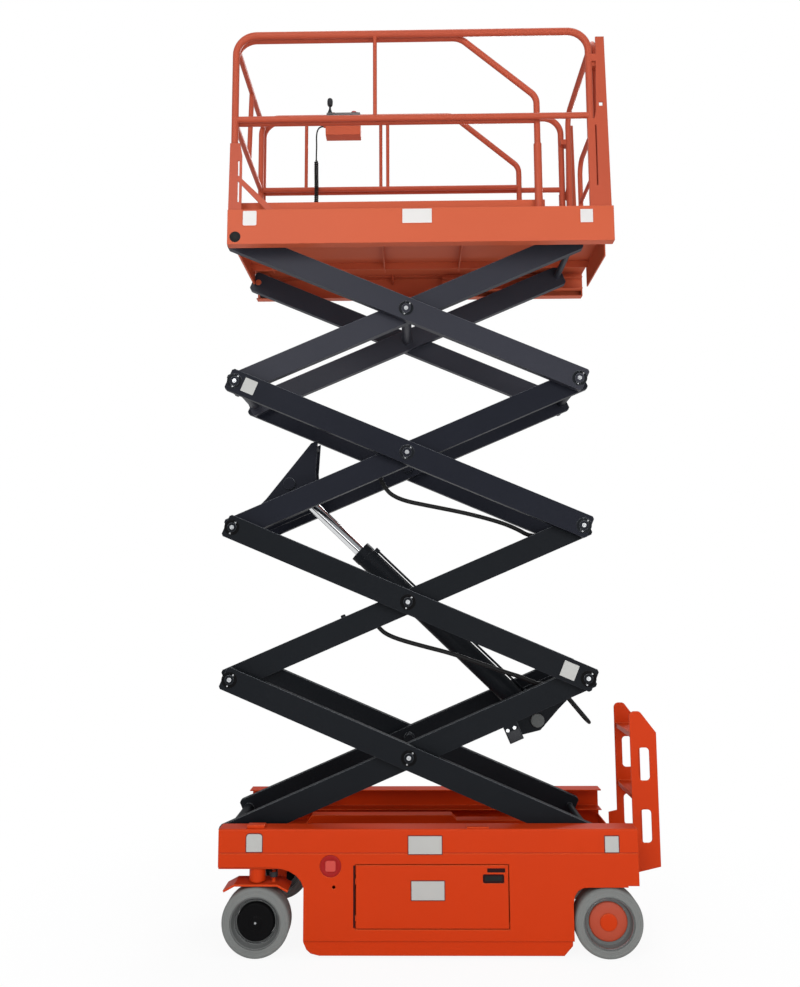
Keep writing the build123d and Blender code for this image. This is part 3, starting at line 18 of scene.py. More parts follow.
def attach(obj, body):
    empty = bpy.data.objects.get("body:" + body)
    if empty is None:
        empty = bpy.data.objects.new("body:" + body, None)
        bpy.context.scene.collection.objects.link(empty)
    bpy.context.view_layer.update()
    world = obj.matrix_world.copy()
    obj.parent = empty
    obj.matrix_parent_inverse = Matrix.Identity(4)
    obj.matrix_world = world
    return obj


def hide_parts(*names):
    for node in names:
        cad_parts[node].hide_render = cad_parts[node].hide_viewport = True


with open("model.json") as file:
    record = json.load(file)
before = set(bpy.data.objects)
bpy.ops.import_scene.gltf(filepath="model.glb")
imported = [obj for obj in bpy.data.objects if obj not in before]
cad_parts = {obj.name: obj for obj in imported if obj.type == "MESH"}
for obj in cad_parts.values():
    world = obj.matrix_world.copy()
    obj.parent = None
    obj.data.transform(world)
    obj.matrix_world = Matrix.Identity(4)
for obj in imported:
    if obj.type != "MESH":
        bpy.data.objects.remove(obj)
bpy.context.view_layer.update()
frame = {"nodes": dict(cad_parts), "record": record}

# %% [markdown]
# ## Sizes that everything else uses
#
# All sizes are in metres. The small parts sit on the CAD solids, so the same few sizes that drive
# those solids are written once here, and most later places are worked out from them.

# %% Sizes of the machine
MID_X = -0.0822162             # middle of the chassis
HALF_WIDTH = 0.5
ARM_LENGTH = 2.22              # from pin to pin
REST_ANGLE = math.radians(23.1)
STEP = ARM_LENGTH * math.sin(REST_ANGLE)    # height of one stage
PIVOT_X = MID_X - 1.12
PIVOT_Z = 0.592
TOP_PIN_Z = PIVOT_Z + 4 * STEP
INNER_ARM_OUT = 0.322          # outer face of the inner arms
OUTER_ARM_OUT = 0.38           # and of the outer arms
FLOOR_TOP = TOP_PIN_Z + 0.083
DECK_TOP = FLOOR_TOP + 0.009
TOP_RAIL_Z = TOP_PIN_Z + 1.255
FRONT_WHEEL_X = MID_X - 0.933
REAR_WHEEL_X = MID_X + 0.972
WHEEL_RADIUS = 0.185
TYRE_MIDDLE = 0.435
SIDES = (("near", -1), ("far", 1))
CHASSIS_LEFT = MID_X - 1.1375
CHASSIS_RIGHT = MID_X + 1.1375
PIN_HEAD_OUT = 0.383           # outer face of the pins' heads
HALF_DEPTH = 0.0675            # half the depth of an arm
DECK_LEFT = MID_X - 1.155
DECK_RIGHT = MID_X + 0.740
print("top pins at", round(TOP_PIN_Z, 4), "top rail at", round(TOP_RAIL_Z, 4))

# %% [markdown]
# ## The camera
#
# The camera stands nearly two metres up and a little over five metres from the machine's middle. It
# looks slightly up, with a lens that is a bit wide. A camera in Blender looks along its own -Z with
# +Y up, so its matrix is built from three directions: right, up and backwards. That is safer than
# three Euler angles, because each direction can be checked by itself.

# %% Camera
CAMERA_AT = Vector((MID_X - 0.071, -5.216, 1.979))
YAW, PITCH, ROLL = -0.0145, 0.1125, -0.005
FOCAL_SHARE = 835.9 / 987      # focal length over the sensor's long side


def camera_matrix(place, yaw, pitch, roll):
    """World matrix of a camera from its place and three angles in radians."""
    forward = Vector((math.sin(yaw) * math.cos(pitch), math.cos(yaw) * math.cos(pitch), math.sin(pitch)))
    right = Vector((math.cos(yaw), -math.sin(yaw), 0))
    up = right.cross(forward)
    turned_right = math.cos(roll) * right + math.sin(roll) * up
    turned_up = -math.sin(roll) * right + math.cos(roll) * up
    rows = Matrix((turned_right, turned_up, -forward)).transposed().to_4x4()
    return Matrix.Translation(place) @ rows


camera_data = bpy.data.cameras.new("camera")
camera_data.sensor_width = 36
camera_data.lens = 36 * FOCAL_SHARE
camera = bpy.data.objects.new("camera", camera_data)
bpy.context.scene.collection.objects.link(camera)
camera.matrix_world = camera_matrix(CAMERA_AT, YAW, PITCH, ROLL)
camera_data.clip_end = 60
bpy.context.scene.camera = camera
print("lens", round(camera_data.lens, 2), "mm")

# %% [markdown]
# ## Floor, world and lamps
#
# The machine stands in a bright white room. A plain white floor would go grey where the light
# falls off, so the floor glows nearly white to the camera and to shiny things, and takes only a
# small share of the shadow under the machine. The world is pure white to the camera alone. Light
# Path tells the shaders which kind of ray is asking, and a smooth step on the distance from the
# machine turns the rest of the floor pure white, so that no horizon shows. Large area lamps give
# the soft, even light of such a room.

# %% Studio
FLOOR_REACH = 26.0
NEAR_WHITE = 0.92              # share of pure white beside the machine, where the shadow lies
WHITE_FROM, WHITE_TO = 1.3, 3.2    # distances over which the floor turns to pure white
scene = bpy.context.scene
scene.view_settings.view_transform = "Standard"


def new_material(name):
    """An empty node material with its output; returns (material, nodes, links, output)."""
    material = bpy.data.materials.new(name)
    material.use_nodes = True
    nodes = material.node_tree.nodes
    nodes.clear()
    return material, nodes, material.node_tree.links, nodes.new("ShaderNodeOutputMaterial")


def white_floor():
    """White to the camera and in reflections, with a soft grey shadow mixed in under the machine."""
    material, nodes, links, output = new_material("studio_floor")
    diffuse = nodes.new("ShaderNodeBsdfDiffuse")
    diffuse.inputs["Color"].default_value = (0.93, 0.93, 0.93, 1)
    glow = nodes.new("ShaderNodeEmission")
    glow.inputs["Color"].default_value = (1, 1, 1, 1)
    path = nodes.new("ShaderNodeLightPath")
    either = nodes.new("ShaderNodeMath")
    either.operation = "MAXIMUM"
    links.new(path.outputs["Is Camera Ray"], either.inputs[0])
    links.new(path.outputs["Is Glossy Ray"], either.inputs[1])
    where = nodes.new("ShaderNodeTexCoord")
    reach = nodes.new("ShaderNodeVectorMath")
    reach.operation = "LENGTH"
    links.new(where.outputs["Object"], reach.inputs[0])
    fade = nodes.new("ShaderNodeMapRange")
    fade.interpolation_type = "SMOOTHSTEP"
    fade.inputs["From Min"].default_value = WHITE_FROM
    fade.inputs["From Max"].default_value = WHITE_TO
    fade.inputs["To Min"].default_value = NEAR_WHITE
    fade.inputs["To Max"].default_value = 1.0
    links.new(reach.outputs["Value"], fade.inputs["Value"])
    share = nodes.new("ShaderNodeMath")
    share.operation = "MULTIPLY"
    links.new(fade.outputs[0], share.inputs[1])
    links.new(either.outputs[0], share.inputs[0])
    mix = nodes.new("ShaderNodeMixShader")
    links.new(share.outputs[0], mix.inputs[0])
    links.new(diffuse.outputs[0], mix.inputs[1])
    links.new(glow.outputs[0], mix.inputs[2])
    links.new(mix.outputs[0], output.inputs[0])
    return material


def build_studio():
    """The floor, the world and the lamps."""
    mesh = bpy.data.meshes.new("floor")
    corners = [(x * FLOOR_REACH, y * FLOOR_REACH, 0) for x, y in ((-1, -1), (1, -1), (1, 1), (-1, 1))]
    mesh.from_pydata(corners, [], [(0, 1, 2, 3)])
    floor = bpy.data.objects.new("floor", mesh)
    scene.collection.objects.link(floor)
    mesh.materials.append(white_floor())
    world = bpy.data.worlds.new("white_room")
    scene.world = world
    world.use_nodes = True
    nodes, links = world.node_tree.nodes, world.node_tree.links
    nodes.clear()
    output = nodes.new("ShaderNodeOutputWorld")
    seen = nodes.new("ShaderNodeBackground")
    seen.inputs["Color"].default_value = (1, 1, 1, 1)
    seen.inputs["Strength"].default_value = 1.0
    fill = nodes.new("ShaderNodeBackground")
    fill.inputs["Color"].default_value = (0.93, 0.96, 1, 1)
    fill.inputs["Strength"].default_value = 0.42
    path = nodes.new("ShaderNodeLightPath")
    mix = nodes.new("ShaderNodeMixShader")
    links.new(path.outputs["Is Camera Ray"], mix.inputs[0])
    links.new(fill.outputs[0], mix.inputs[1])
    links.new(seen.outputs[0], mix.inputs[2])
    links.new(mix.outputs[0], output.inputs[0])
    lamps = (
        # name, place, looks at, width, height, watts
        ("key_lamp", (-3.0, -7.5, 6.4), (0, 0, 2.6), 4.0, 4.0, 285),
        ("fill_lamp", (4.2, -7.0, 3.4), (0, 0, 2.0), 4.0, 5.0, 185),
        ("top_lamp", (0.5, 0.5, 10.0), (0, 0, 0), 6.0, 4.0, 215),
        ("low_lamp", (0.0, -7.0, 1.0), (0, 0, 1.4), 6.0, 1.6, 75),
        ("back_lamp", (2.5, 7.0, 7.4), (0, 0, 2.4), 4.0, 3.0, 330),
    )
    for name, place, target, width, height, watts in lamps:
        data = bpy.data.lights.new(name, "AREA")
        data.shape = "RECTANGLE"
        data.size, data.size_y, data.energy = width, height, watts
        lamp = bpy.data.objects.new(name, data)
        scene.collection.objects.link(lamp)
        lamp.location = place
        toward = Vector(target) - Vector(place)
        lamp.rotation_mode = "QUATERNION"
        lamp.rotation_quaternion = toward.to_track_quat("-Z", "Y")
    print("lamps:", len(lamps))


build_studio()

# %% [markdown]
# ## Paint, in one shader group
#
# Powder-coated steel is never one flat colour. Close up it has a fine orange-peel surface, from
# further away the tone drifts a little, and dust and scuffs lie where people and tyres reach.
# All the finishes share that in some measure, so it is one node group with named inputs. It gives
# back only a colour, a roughness and a normal. The Principled shader stays in each material, where
# its even values sit on its own sockets. A Bevel node rounds the normal near sharp edges, as paint
# does, and where that rounded normal leaves the flat one the colour turns lighter: partly paint worn
# thin, partly a painted highlight, most of all along the upper edges, where boots and tools rub and
# the light falls.


# %% Shader groups
def group_socket(tree, name, way, kind, value=None):
    """Adds a named socket to a node group."""
    socket = tree.interface.new_socket(name=name, in_out=way, socket_type=kind)
    if value is not None:
        socket.default_value = value
    return socket


def math_node(tree, operation, first, second=None, clamp=False):
    """A Math node whose inputs are sockets or plain numbers."""
    node = tree.nodes.new("ShaderNodeMath")
    node.operation = operation
    node.use_clamp = clamp
    for place, value in enumerate((first, second)):
        if value is None:
            continue
        if isinstance(value, (int, float)):
            node.inputs[place].default_value = value
        else:
            tree.links.new(value, node.inputs[place])
    return node.outputs[0]


def mix_colour(tree, share, first, second):
    """A colour mix; share, first and second are sockets or plain values."""
    node = tree.nodes.new("ShaderNodeMix")
    node.data_type = "RGBA"
    for socket, value in ((node.inputs[0], share), (node.inputs[6], first), (node.inputs[7], second)):
        if hasattr(value, "links"):
            tree.links.new(value, socket)
        else:
            socket.default_value = value
    return node.outputs[2]


def noise(tree, where, scale, detail=3.0, rough=0.5):
    """A noise texture read at a place."""
    node = tree.nodes.new("ShaderNodeTexNoise")
    node.inputs["Scale"].default_value = scale
    node.inputs["Detail"].default_value = detail
    node.inputs["Roughness"].default_value = rough
    tree.links.new(where, node.inputs["Vector"])
    return node.outputs["Fac"]


def surface_group():
    """Colour drift, scuffs, dust, round edges lightened by wear and a painted highlight, and a fine grain,
    shared by every solid finish.
    """
    tree = bpy.data.node_groups.new("worn_and_highlit_surface", "ShaderNodeTree")
    group_socket(tree, "Base", "INPUT", "NodeSocketColor", (0.5, 0.5, 0.5, 1))
    group_socket(tree, "Drift", "INPUT", "NodeSocketFloat", 0.1)
    group_socket(tree, "Scuffs", "INPUT", "NodeSocketFloat", 0.1)
    group_socket(tree, "Scuff Colour", "INPUT", "NodeSocketColor", (0.4, 0.4, 0.4, 1))
    group_socket(tree, "Dust", "INPUT", "NodeSocketFloat", 0.1)
    group_socket(tree, "Gloss", "INPUT", "NodeSocketFloat", 0.35)
    group_socket(tree, "Grain Scale", "INPUT", "NodeSocketFloat", 600.0)
    group_socket(tree, "Grain Height", "INPUT", "NodeSocketFloat", 0.1)
    group_socket(tree, "Edge Radius", "INPUT", "NodeSocketFloat", 0.003)
    group_socket(tree, "Edge Share", "INPUT", "NodeSocketFloat", 0.3)
    group_socket(tree, "Edge Colour", "INPUT", "NodeSocketColor", (0.5, 0.5, 0.5, 1))
    group_socket(tree, "Colour", "OUTPUT", "NodeSocketColor")
    group_socket(tree, "Roughness", "OUTPUT", "NodeSocketFloat")
    group_socket(tree, "Normal", "OUTPUT", "NodeSocketVector")
    nodes, links = tree.nodes, tree.links
    source = nodes.new("NodeGroupInput")
    target = nodes.new("NodeGroupOutput")
    where = nodes.new("ShaderNodeTexCoord").outputs["Object"]
    drift = math_node(tree, "SUBTRACT", noise(tree, where, 2.3, 4.0), 0.5)
    drift = math_node(tree, "MULTIPLY", drift, source.outputs["Drift"])
    level = math_node(tree, "ADD", drift, 1.0)
    toned = nodes.new("ShaderNodeHueSaturation")
    links.new(level, toned.inputs["Value"])
    links.new(source.outputs["Base"], toned.inputs["Color"])
    stretched = nodes.new("ShaderNodeMapping")
    stretched.inputs["Scale"].default_value = (1.0, 1.0, 3.6)
    links.new(where, stretched.inputs["Vector"])
    streaks = noise(tree, stretched.outputs[0], 17.0, 6.0, 0.7)
    patches = noise(tree, where, 4.1, 2.0)
    scuffs = math_node(tree, "MULTIPLY", math_node(tree, "SUBTRACT", streaks, 0.6, True), 7.0, True)
    scuffs = math_node(tree, "MULTIPLY", scuffs, math_node(tree, "SUBTRACT", patches, 0.38, True))
    scuffs = math_node(tree, "MULTIPLY", scuffs, 3.0, True)
    scuffs = math_node(tree, "MULTIPLY", scuffs, source.outputs["Scuffs"])
    scuffed = mix_colour(tree, scuffs, toned.outputs[0], source.outputs["Scuff Colour"])
    cloud = noise(tree, where, 7.7, 5.0, 0.62)
    facing = nodes.new("ShaderNodeNewGeometry")
    split = nodes.new("ShaderNodeSeparateXYZ")
    links.new(facing.outputs["Normal"], split.inputs[0])
    upwards = math_node(tree, "ADD", math_node(tree, "MULTIPLY", split.outputs[2], 0.7, True), 0.25)
    dust = math_node(tree, "MULTIPLY", math_node(tree, "MULTIPLY", cloud, upwards), source.outputs["Dust"])
    dusty = mix_colour(tree, dust, scuffed, (0.42, 0.40, 0.37, 1))
    rounded = nodes.new("ShaderNodeBevel")
    rounded.samples = 4
    links.new(source.outputs["Edge Radius"], rounded.inputs["Radius"])
    lined_up = nodes.new("ShaderNodeVectorMath")
    lined_up.operation = "DOT_PRODUCT"
    links.new(rounded.outputs[0], lined_up.inputs[0])
    links.new(facing.outputs["Normal"], lined_up.inputs[1])
    # Where the rounded normal leaves the flat one the edge colour is mixed in: partly worn paint, partly a
    # painted highlight.
    turned = math_node(tree, "SUBTRACT", 1.0, lined_up.outputs["Value"])
    edge = math_node(tree, "MULTIPLY", turned, 6.0, True)
    edge = math_node(tree, "MULTIPLY", edge, source.outputs["Edge Share"])
    # Edges tilted upwards take more of the edge colour: a painted highlight along the upper edges, where the
    # top lamps fall.
    tilt = nodes.new("ShaderNodeSeparateXYZ")
    links.new(rounded.outputs[0], tilt.inputs[0])
    upward = math_node(tree, "MULTIPLY", tilt.outputs["Z"], 2.2, True)
    upward = math_node(tree, "ADD", math_node(tree, "MULTIPLY", upward, 0.8), 0.2)
    edge = math_node(tree, "MULTIPLY", edge, upward)
    worn_and_highlit = mix_colour(tree, edge, dusty, source.outputs["Edge Colour"])
    links.new(worn_and_highlit, target.inputs["Colour"])
    rough = math_node(tree, "ADD", source.outputs["Gloss"], math_node(tree, "MULTIPLY", dust, 0.6))
    rough = math_node(tree, "ADD", rough, math_node(tree, "MULTIPLY", scuffs, 0.35), True)
    links.new(rough, target.inputs["Roughness"])
    fine = nodes.new("ShaderNodeTexNoise")
    fine.inputs["Detail"].default_value = 2.0
    links.new(where, fine.inputs["Vector"])
    links.new(source.outputs["Grain Scale"], fine.inputs["Scale"])
    bump = nodes.new("ShaderNodeBump")
    bump.inputs["Distance"].default_value = 0.0006
    links.new(source.outputs["Grain Height"], bump.inputs["Strength"])
    links.new(fine.outputs["Fac"], bump.inputs["Height"])
    links.new(rounded.outputs[0], bump.inputs["Normal"])
    links.new(bump.outputs[0], target.inputs["Normal"])
    return tree


WORN_AND_HIGHLIT_SURFACE = surface_group()
print("group sockets:", len(WORN_AND_HIGHLIT_SURFACE.interface.items_tree))

# %% [markdown]
# ## The finishes
#
# Each row of the table is one finish: its colour in linear light, how rough and how metallic it
# is, how much clear coat lies on it, and how worn it looks, with an edge colour that paints both
# worn edges and a highlight along them. A table keeps the finishes together, so that two paints
# can be compared at a glance, and one loop builds them all.

# %% Materials
FINISHES = {
    # colour, roughness, metallic, coat, specular level, drift, scuffs, scuff colour, dust,
    # grain scale, grain height, edge radius, edge share, edge colour
    # The chassis's broad, bright edge colour is partly wear, partly a painted highlight along its top edge.
    "chassis_paint": ((0.52, 0.036, 0.003), 0.38, 0, 0.0, 0.08, 0.07, 0.06, (0.40, 0.045, 0.012), 0.02,
                      420, 0.10, 0.007, 0.8, (0.80, 0.15, 0.045)),
    "platform_paint": ((0.53, 0.100, 0.044), 0.46, 0, 0.0, 0.12, 0.08, 0.07, (0.60, 0.19, 0.12), 0.03,
                       420, 0.12, 0.004, 0.35, (0.66, 0.22, 0.13)),
    "rail_paint": ((0.44, 0.078, 0.038), 0.40, 0, 0.0, 0.15, 0.10, 0.08, (0.50, 0.16, 0.11), 0.03,
                   420, 0.12, 0.003, 0.3, (0.60, 0.20, 0.12)),
    # The arms' pale edge colours are partly wear, partly a painted highlight along their top edges.
    "arm_paint": ((0.0078, 0.0092, 0.0115), 0.42, 0, 0.0, 0.05, 0.30, 0.15, (0.040, 0.043, 0.047), 0.015,
                  520, 0.16, 0.0045, 0.9, (0.24, 0.25, 0.27)),
    # Paler copies of the arm paint for the third and fourth stages: painted light, for the fuller light on
    # the higher arms.
    "arm_paint_lit_mid": ((0.0105, 0.0118, 0.0180), 0.42, 0, 0.0, 0.06, 0.28, 0.15, (0.045, 0.048, 0.055), 0.02,
                      520, 0.16, 0.0045, 0.9, (0.25, 0.26, 0.28)),
    "arm_paint_lit_high": ((0.0300, 0.0310, 0.0410), 0.44, 0, 0.0, 0.10, 0.22, 0.18, (0.07, 0.073, 0.085), 0.03,
                       520, 0.16, 0.0045, 0.8, (0.26, 0.27, 0.30)),
    "greased_steel": ((0.085, 0.090, 0.088), 0.5, 0, 0.0, 0.2, 0.2, 0.2, (0.15, 0.15, 0.15), 0.05,
                      700, 0.2, 0.002, 0.5, (0.25, 0.25, 0.25)),
    "red_enamel": ((0.30, 0.006, 0.005), 0.35, 0, 0.0, 0.15, 0.08, 0.05, (0.25, 0.03, 0.02), 0.02,
                   420, 0.08, 0.002, 0.3, (0.6, 0.05, 0.04)),
    "dark_block": ((0.03, 0.03, 0.032), 0.5, 0, 0.0, 0.3, 0.2, 0.1, (0.1, 0.1, 0.1), 0.2,
                   300, 0.2, 0.004, 0.4, (0.1, 0.1, 0.1)),
    "tyre_rubber": ((0.172, 0.180, 0.173), 0.8, 0, 0.0, 0.2, 0.2, 0.35, (0.22, 0.225, 0.215), 0.2,
                    700, 0.5, 0.003, 0.5, (0.27, 0.275, 0.265)),
    "rim_grey": ((0.105, 0.11, 0.108), 0.45, 0, 0.0, 0.3, 0.15, 0.2, (0.28, 0.28, 0.27), 0.12,
                 420, 0.2, 0.002, 0.5, (0.38, 0.38, 0.37)),
    "black_wheel": ((0.0030, 0.0030, 0.0034), 0.45, 0, 0.0, 0.04, 0.3, 0.12, (0.03, 0.03, 0.03), 0.01,
                    420, 0.2, 0.002, 0.4, (0.06, 0.06, 0.06)),
    "wheel_paint": ((0.39, 0.050, 0.018), 0.48, 0, 0.0, 0.25, 0.16, 0.25, (0.33, 0.10, 0.06), 0.12,
                    420, 0.15, 0.003, 0.4, (0.55, 0.12, 0.06)),
    "bare_steel": ((0.42, 0.43, 0.44), 0.34, 1, 0.0, 0.5, 0.2, 0.2, (0.16, 0.16, 0.16), 0.08,
                   900, 0.15, 0.001, 0.3, (0.6, 0.6, 0.6)),
    "zinc_bolts": ((0.74, 0.75, 0.77), 0.26, 1, 0.0, 0.5, 0.1, 0.1, (0.5, 0.5, 0.5), 0.02,
                   900, 0.1, 0.0006, 0.3, (0.9, 0.9, 0.9)),
    "chromed_steel": ((0.66, 0.67, 0.68), 0.10, 1, 0.0, 0.5, 0.05, 0.04, (0.4, 0.4, 0.4), 0.03,
                      900, 0.02, 0.002, 0.1, (0.9, 0.9, 0.9)),
    "hose_rubber": ((0.0065, 0.0065, 0.007), 0.5, 0, 0.0, 0.15, 0.25, 0.2, (0.04, 0.04, 0.04), 0.03,
                    800, 0.25, 0.001, 0.1, (0.03, 0.03, 0.03)),
    "dark_plastic": ((0.016, 0.017, 0.020), 0.5, 0, 0.0, 0.25, 0.2, 0.1, (0.08, 0.08, 0.08), 0.05,
                     900, 0.3, 0.002, 0.3, (0.07, 0.07, 0.07)),
    "grey_shell": ((0.060, 0.046, 0.045), 0.5, 0, 0.0, 0.25, 0.15, 0.1, (0.12, 0.10, 0.10), 0.05,
                   900, 0.3, 0.002, 0.3, (0.14, 0.13, 0.13)),
    "blank_plate": ((0.42, 0.42, 0.40), 0.4, 0, 0.0, 0.4, 0.08, 0.12, (0.30, 0.29, 0.27), 0.04,
                    500, 0.05, 0.0008, 0.3, (0.6, 0.6, 0.6)),
    "pale_plate": ((0.66, 0.64, 0.62), 0.4, 0, 0.0, 0.4, 0.08, 0.1, (0.6, 0.56, 0.52), 0.04,
                   500, 0.05, 0.0008, 0.3, (0.85, 0.85, 0.85)),
    "plate_edge": ((0.13, 0.010, 0.005), 0.45, 0, 0.0, 0.3, 0.1, 0.1, (0.2, 0.05, 0.03), 0.03,
                   500, 0.05, 0.0005, 0.2, (0.3, 0.05, 0.03)),
    # A darker strip along the side seam: painted shade in the joint.
    "seam_painted_shade": ((0.33, 0.016, 0.003), 0.5, 0, 0.0, 0.2, 0.1, 0.1, (0.3, 0.03, 0.01), 0.03,
                   500, 0.05, 0.0005, 0.1, (0.4, 0.05, 0.02)),
    "disc_centre": ((0.52, 0.06, 0.045), 0.4, 0, 0.0, 0.2, 0.1, 0.1, (0.5, 0.2, 0.2), 0.03,
                    500, 0.05, 0.001, 0.3, (0.7, 0.25, 0.2)),
    # This finish also paints the shade in each door's edge gap, as the dark strip there.
    "recess_black": ((0.020, 0.003, 0.004), 0.55, 0, 0.0, 0.08, 0.1, 0.1, (0.05, 0.03, 0.03), 0.03,
                     500, 0.1, 0.001, 0.3, (0.12, 0.03, 0.03)),
    "button_red": ((0.45, 0.012, 0.008), 0.35, 0, 0.2, 0.5, 0.05, 0.05, (0.3, 0.05, 0.05), 0.03,
                   500, 0.05, 0.001, 0.2, (0.6, 0.1, 0.1)),
}


def finish_material(name, row):
    """A Principled material fed by the shared surface group."""
    (colour, rough, metallic, coat, specular, drift, scuffs, scuff_colour, dust,
     grain, height, edge_radius, edge_share, edge_colour) = row
    material, nodes, links, output = new_material(name)
    shader = nodes.new("ShaderNodeBsdfPrincipled")
    shader.inputs["Metallic"].default_value = metallic
    shader.inputs["Coat Weight"].default_value = coat
    shader.inputs["Coat Roughness"].default_value = 0.12
    shader.inputs["Specular IOR Level"].default_value = specular
    worn_and_highlit = nodes.new("ShaderNodeGroup")
    worn_and_highlit.node_tree = WORN_AND_HIGHLIT_SURFACE
    values = {
        "Base": (*colour, 1), "Drift": drift, "Scuffs": scuffs, "Scuff Colour": (*scuff_colour, 1),
        "Dust": dust, "Gloss": rough, "Grain Scale": grain, "Grain Height": height,
        "Edge Radius": edge_radius, "Edge Share": edge_share, "Edge Colour": (*edge_colour, 1),
    }
    for label, value in values.items():
        worn_and_highlit.inputs[label].default_value = value
    links.new(worn_and_highlit.outputs["Colour"], shader.inputs["Base Color"])
    links.new(worn_and_highlit.outputs["Roughness"], shader.inputs["Roughness"])
    links.new(worn_and_highlit.outputs["Normal"], shader.inputs["Normal"])
    links.new(shader.outputs[0], output.inputs[0])
    return material


PAINT = {name: finish_material(name, row) for name, row in FINISHES.items()}
print("finishes:", ", ".join(PAINT))

# %% [markdown]
# ## Dressing the CAD solids
#
# The CAD solids keep their shape and only change their finish. Their slots already exist, one for
# each record slot, so the material in every slot is swapped for one from the table. The highest
# arms stand in the full light, so they get paler copies of the same paint, as painted light.
# The rails and the entry are a little darker than the platform's sheet metal.

# %% Finish of each CAD node
SLOT_FINISH = {
    "chassis_paint": "chassis_paint", "platform_paint": "platform_paint", "arm_paint": "arm_paint",
    "red_plate": "red_enamel", "dark_block": "dark_block", "tyre": "tyre_rubber", "dark_wheel": "black_wheel",
    "wheel_paint": "wheel_paint", "bright_steel": "dark_plastic", "hose": "hose_rubber",
    "chrome_rod": "chromed_steel", "control_shell": "dark_plastic",
}
# The higher arms take the paler copies of the arm paint, as painted light.
HIGH_ARMS = {"3": "arm_paint_lit_mid", "4": "arm_paint_lit_high"}
for part in frame["record"]["subparts"]:
    node = frame["nodes"][part["node"]]
    finish = SLOT_FINISH[part["material_slot"]]
    if "_arms_" in part["node"]:
        finish = HIGH_ARMS.get(part["node"][-1], finish)
    elif "rails" in part["node"] or "entry" in part["node"]:
        finish = "rail_paint"
    node.data.materials.clear()
    node.data.materials.append(PAINT[finish])

# %% [markdown]
# ## Hoses and the control cable
#
# Two oil hoses hang below the falling arms, a short loop hangs at the lowest arms' far end, and a
# thin cable leaves the platform's controls. Each is a curve with a round bevel. A NURBS curve of order
# three bends smoothly towards its points, as rubber does, where straight runs with rounded corners
# would look like bent wire. The points follow the CAD tube. The order and the end setting come after
# the points, because Blender works out the knots when the points are there.


# %% Hoses
def on_arm(x, across, y, stage, rising):
    """A place given along and across an arm, as a point in the machine's frame (metres)."""
    turn = REST_ANGLE if rising else -REST_ANGLE
    base = PIVOT_Z + (stage if rising else stage + 1) * STEP
    return Vector((
        PIVOT_X + x * math.cos(turn) - across * math.sin(turn), y,
        base + x * math.sin(turn) + across * math.cos(turn),
    ))


def spline_object(name, points, radius, finish):
    """A round cord along a smooth spline; returns the object and the spline's real length."""
    data = bpy.data.curves.new(name, "CURVE")
    data.dimensions = "3D"
    spline = data.splines.new("NURBS")
    spline.points.add(len(points) - 1)
    for spot, place in zip(spline.points, points):
        spot.co = (*place, 1)
    spline.order_u = 3
    spline.use_endpoint_u = True
    spline.resolution_u = 10
    data.resolution_u = 10
    cord = bpy.data.objects.new(name, data)
    scene.collection.objects.link(cord)
    line = bpy.data.meshes.new_from_object(cord.evaluated_get(bpy.context.evaluated_depsgraph_get()))
    spots = [vertex.co.copy() for vertex in line.vertices]
    length = sum((b - a).length for a, b in zip(spots, spots[1:]))
    bpy.data.meshes.remove(line)
    data.bevel_depth = radius
    data.bevel_resolution = 5
    data.use_fill_caps = True
    data.materials.append(PAINT[finish])
    return cord, length


STRAP_TURN = math.radians(38)
STRAP_REACHES = (0.155, 0.060)     # of a hose's last two points from the arms' last pin


def strap_reach(reach):
    """Along and across, on the line out of the falling arms' last pin."""
    return (ARM_LENGTH - reach * math.cos(STRAP_TURN), -reach * math.sin(STRAP_TURN))


HOSE_Y = {1: -0.215, 2: -0.181}
HOSE_RADIUS = 0.013
HOSE_RUNS = {
    2: ((1.216, -0.176), (1.160, -0.236), (1.050, -0.258), (0.868, -0.222), (0.650, -0.177),
        (0.450, -0.149), (0.335, -0.147), (0.242, -0.160)),
    1: ((1.265, -0.172), (1.205, -0.217), (1.112, -0.230), (0.930, -0.207), (0.760, -0.180),
        (0.590, -0.168), (0.430, -0.158), (0.320, -0.146), (0.215, -0.150)),
}


def hang_cord(name, node, body, points, radius, finish):
    """Makes a cord that stands for its CAD node, hides that node and rides the cord on a body."""
    cord, length = spline_object(name, points, radius, finish)
    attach(cord, body)
    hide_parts(node)
    print(name, "length", round(length, 3))
    return cord


for stage, runs in HOSE_RUNS.items():
    route = [(ARM_LENGTH - back, rise) for back, rise in runs]
    route += [strap_reach(reach) for reach in STRAP_REACHES]
    points = [on_arm(x, rise, HOSE_Y[stage], stage, False) for x, rise in route]
    hang_cord(f"oil_hose_{stage + 1}", f"hose_{stage + 1}", f"outer_arms_{stage + 1}", points,
              HOSE_RADIUS, "hose_rubber")

LOOP_Y = (-0.246, -0.110)
LOOP_BACK = 0.154
LOOP_TURN = math.radians(16.6)
LOOP_RADIUS = 0.010
LOOP_REACHES = (0.060, 0.180, 0.273)


def loop_point(reach, y):
    """A point down the hanging loop's line, below the rising arms' far end."""
    along = ARM_LENGTH - LOOP_BACK + reach * math.sin(LOOP_TURN)
    return on_arm(along, -reach * math.cos(LOOP_TURN), y, 0, True)


loop_points = [loop_point(reach, LOOP_Y[0]) for reach in LOOP_REACHES]
loop_points += [loop_point(reach, LOOP_Y[1]) for reach in reversed(LOOP_REACHES)]
hang_cord("oil_hose_loop", "hose_loop", "inner_arms_1", loop_points, LOOP_RADIUS, "hose_rubber")

# %% [markdown]
# ### The curly lead of the hand controls
#
# A curly lead is one plain cable wound on a rod and baked, so that it springs back. It is the same
# kind of curve as the hoses, with many more points: they go round the lead's middle line while
# they run down it, and the first and last turns close in on that line.

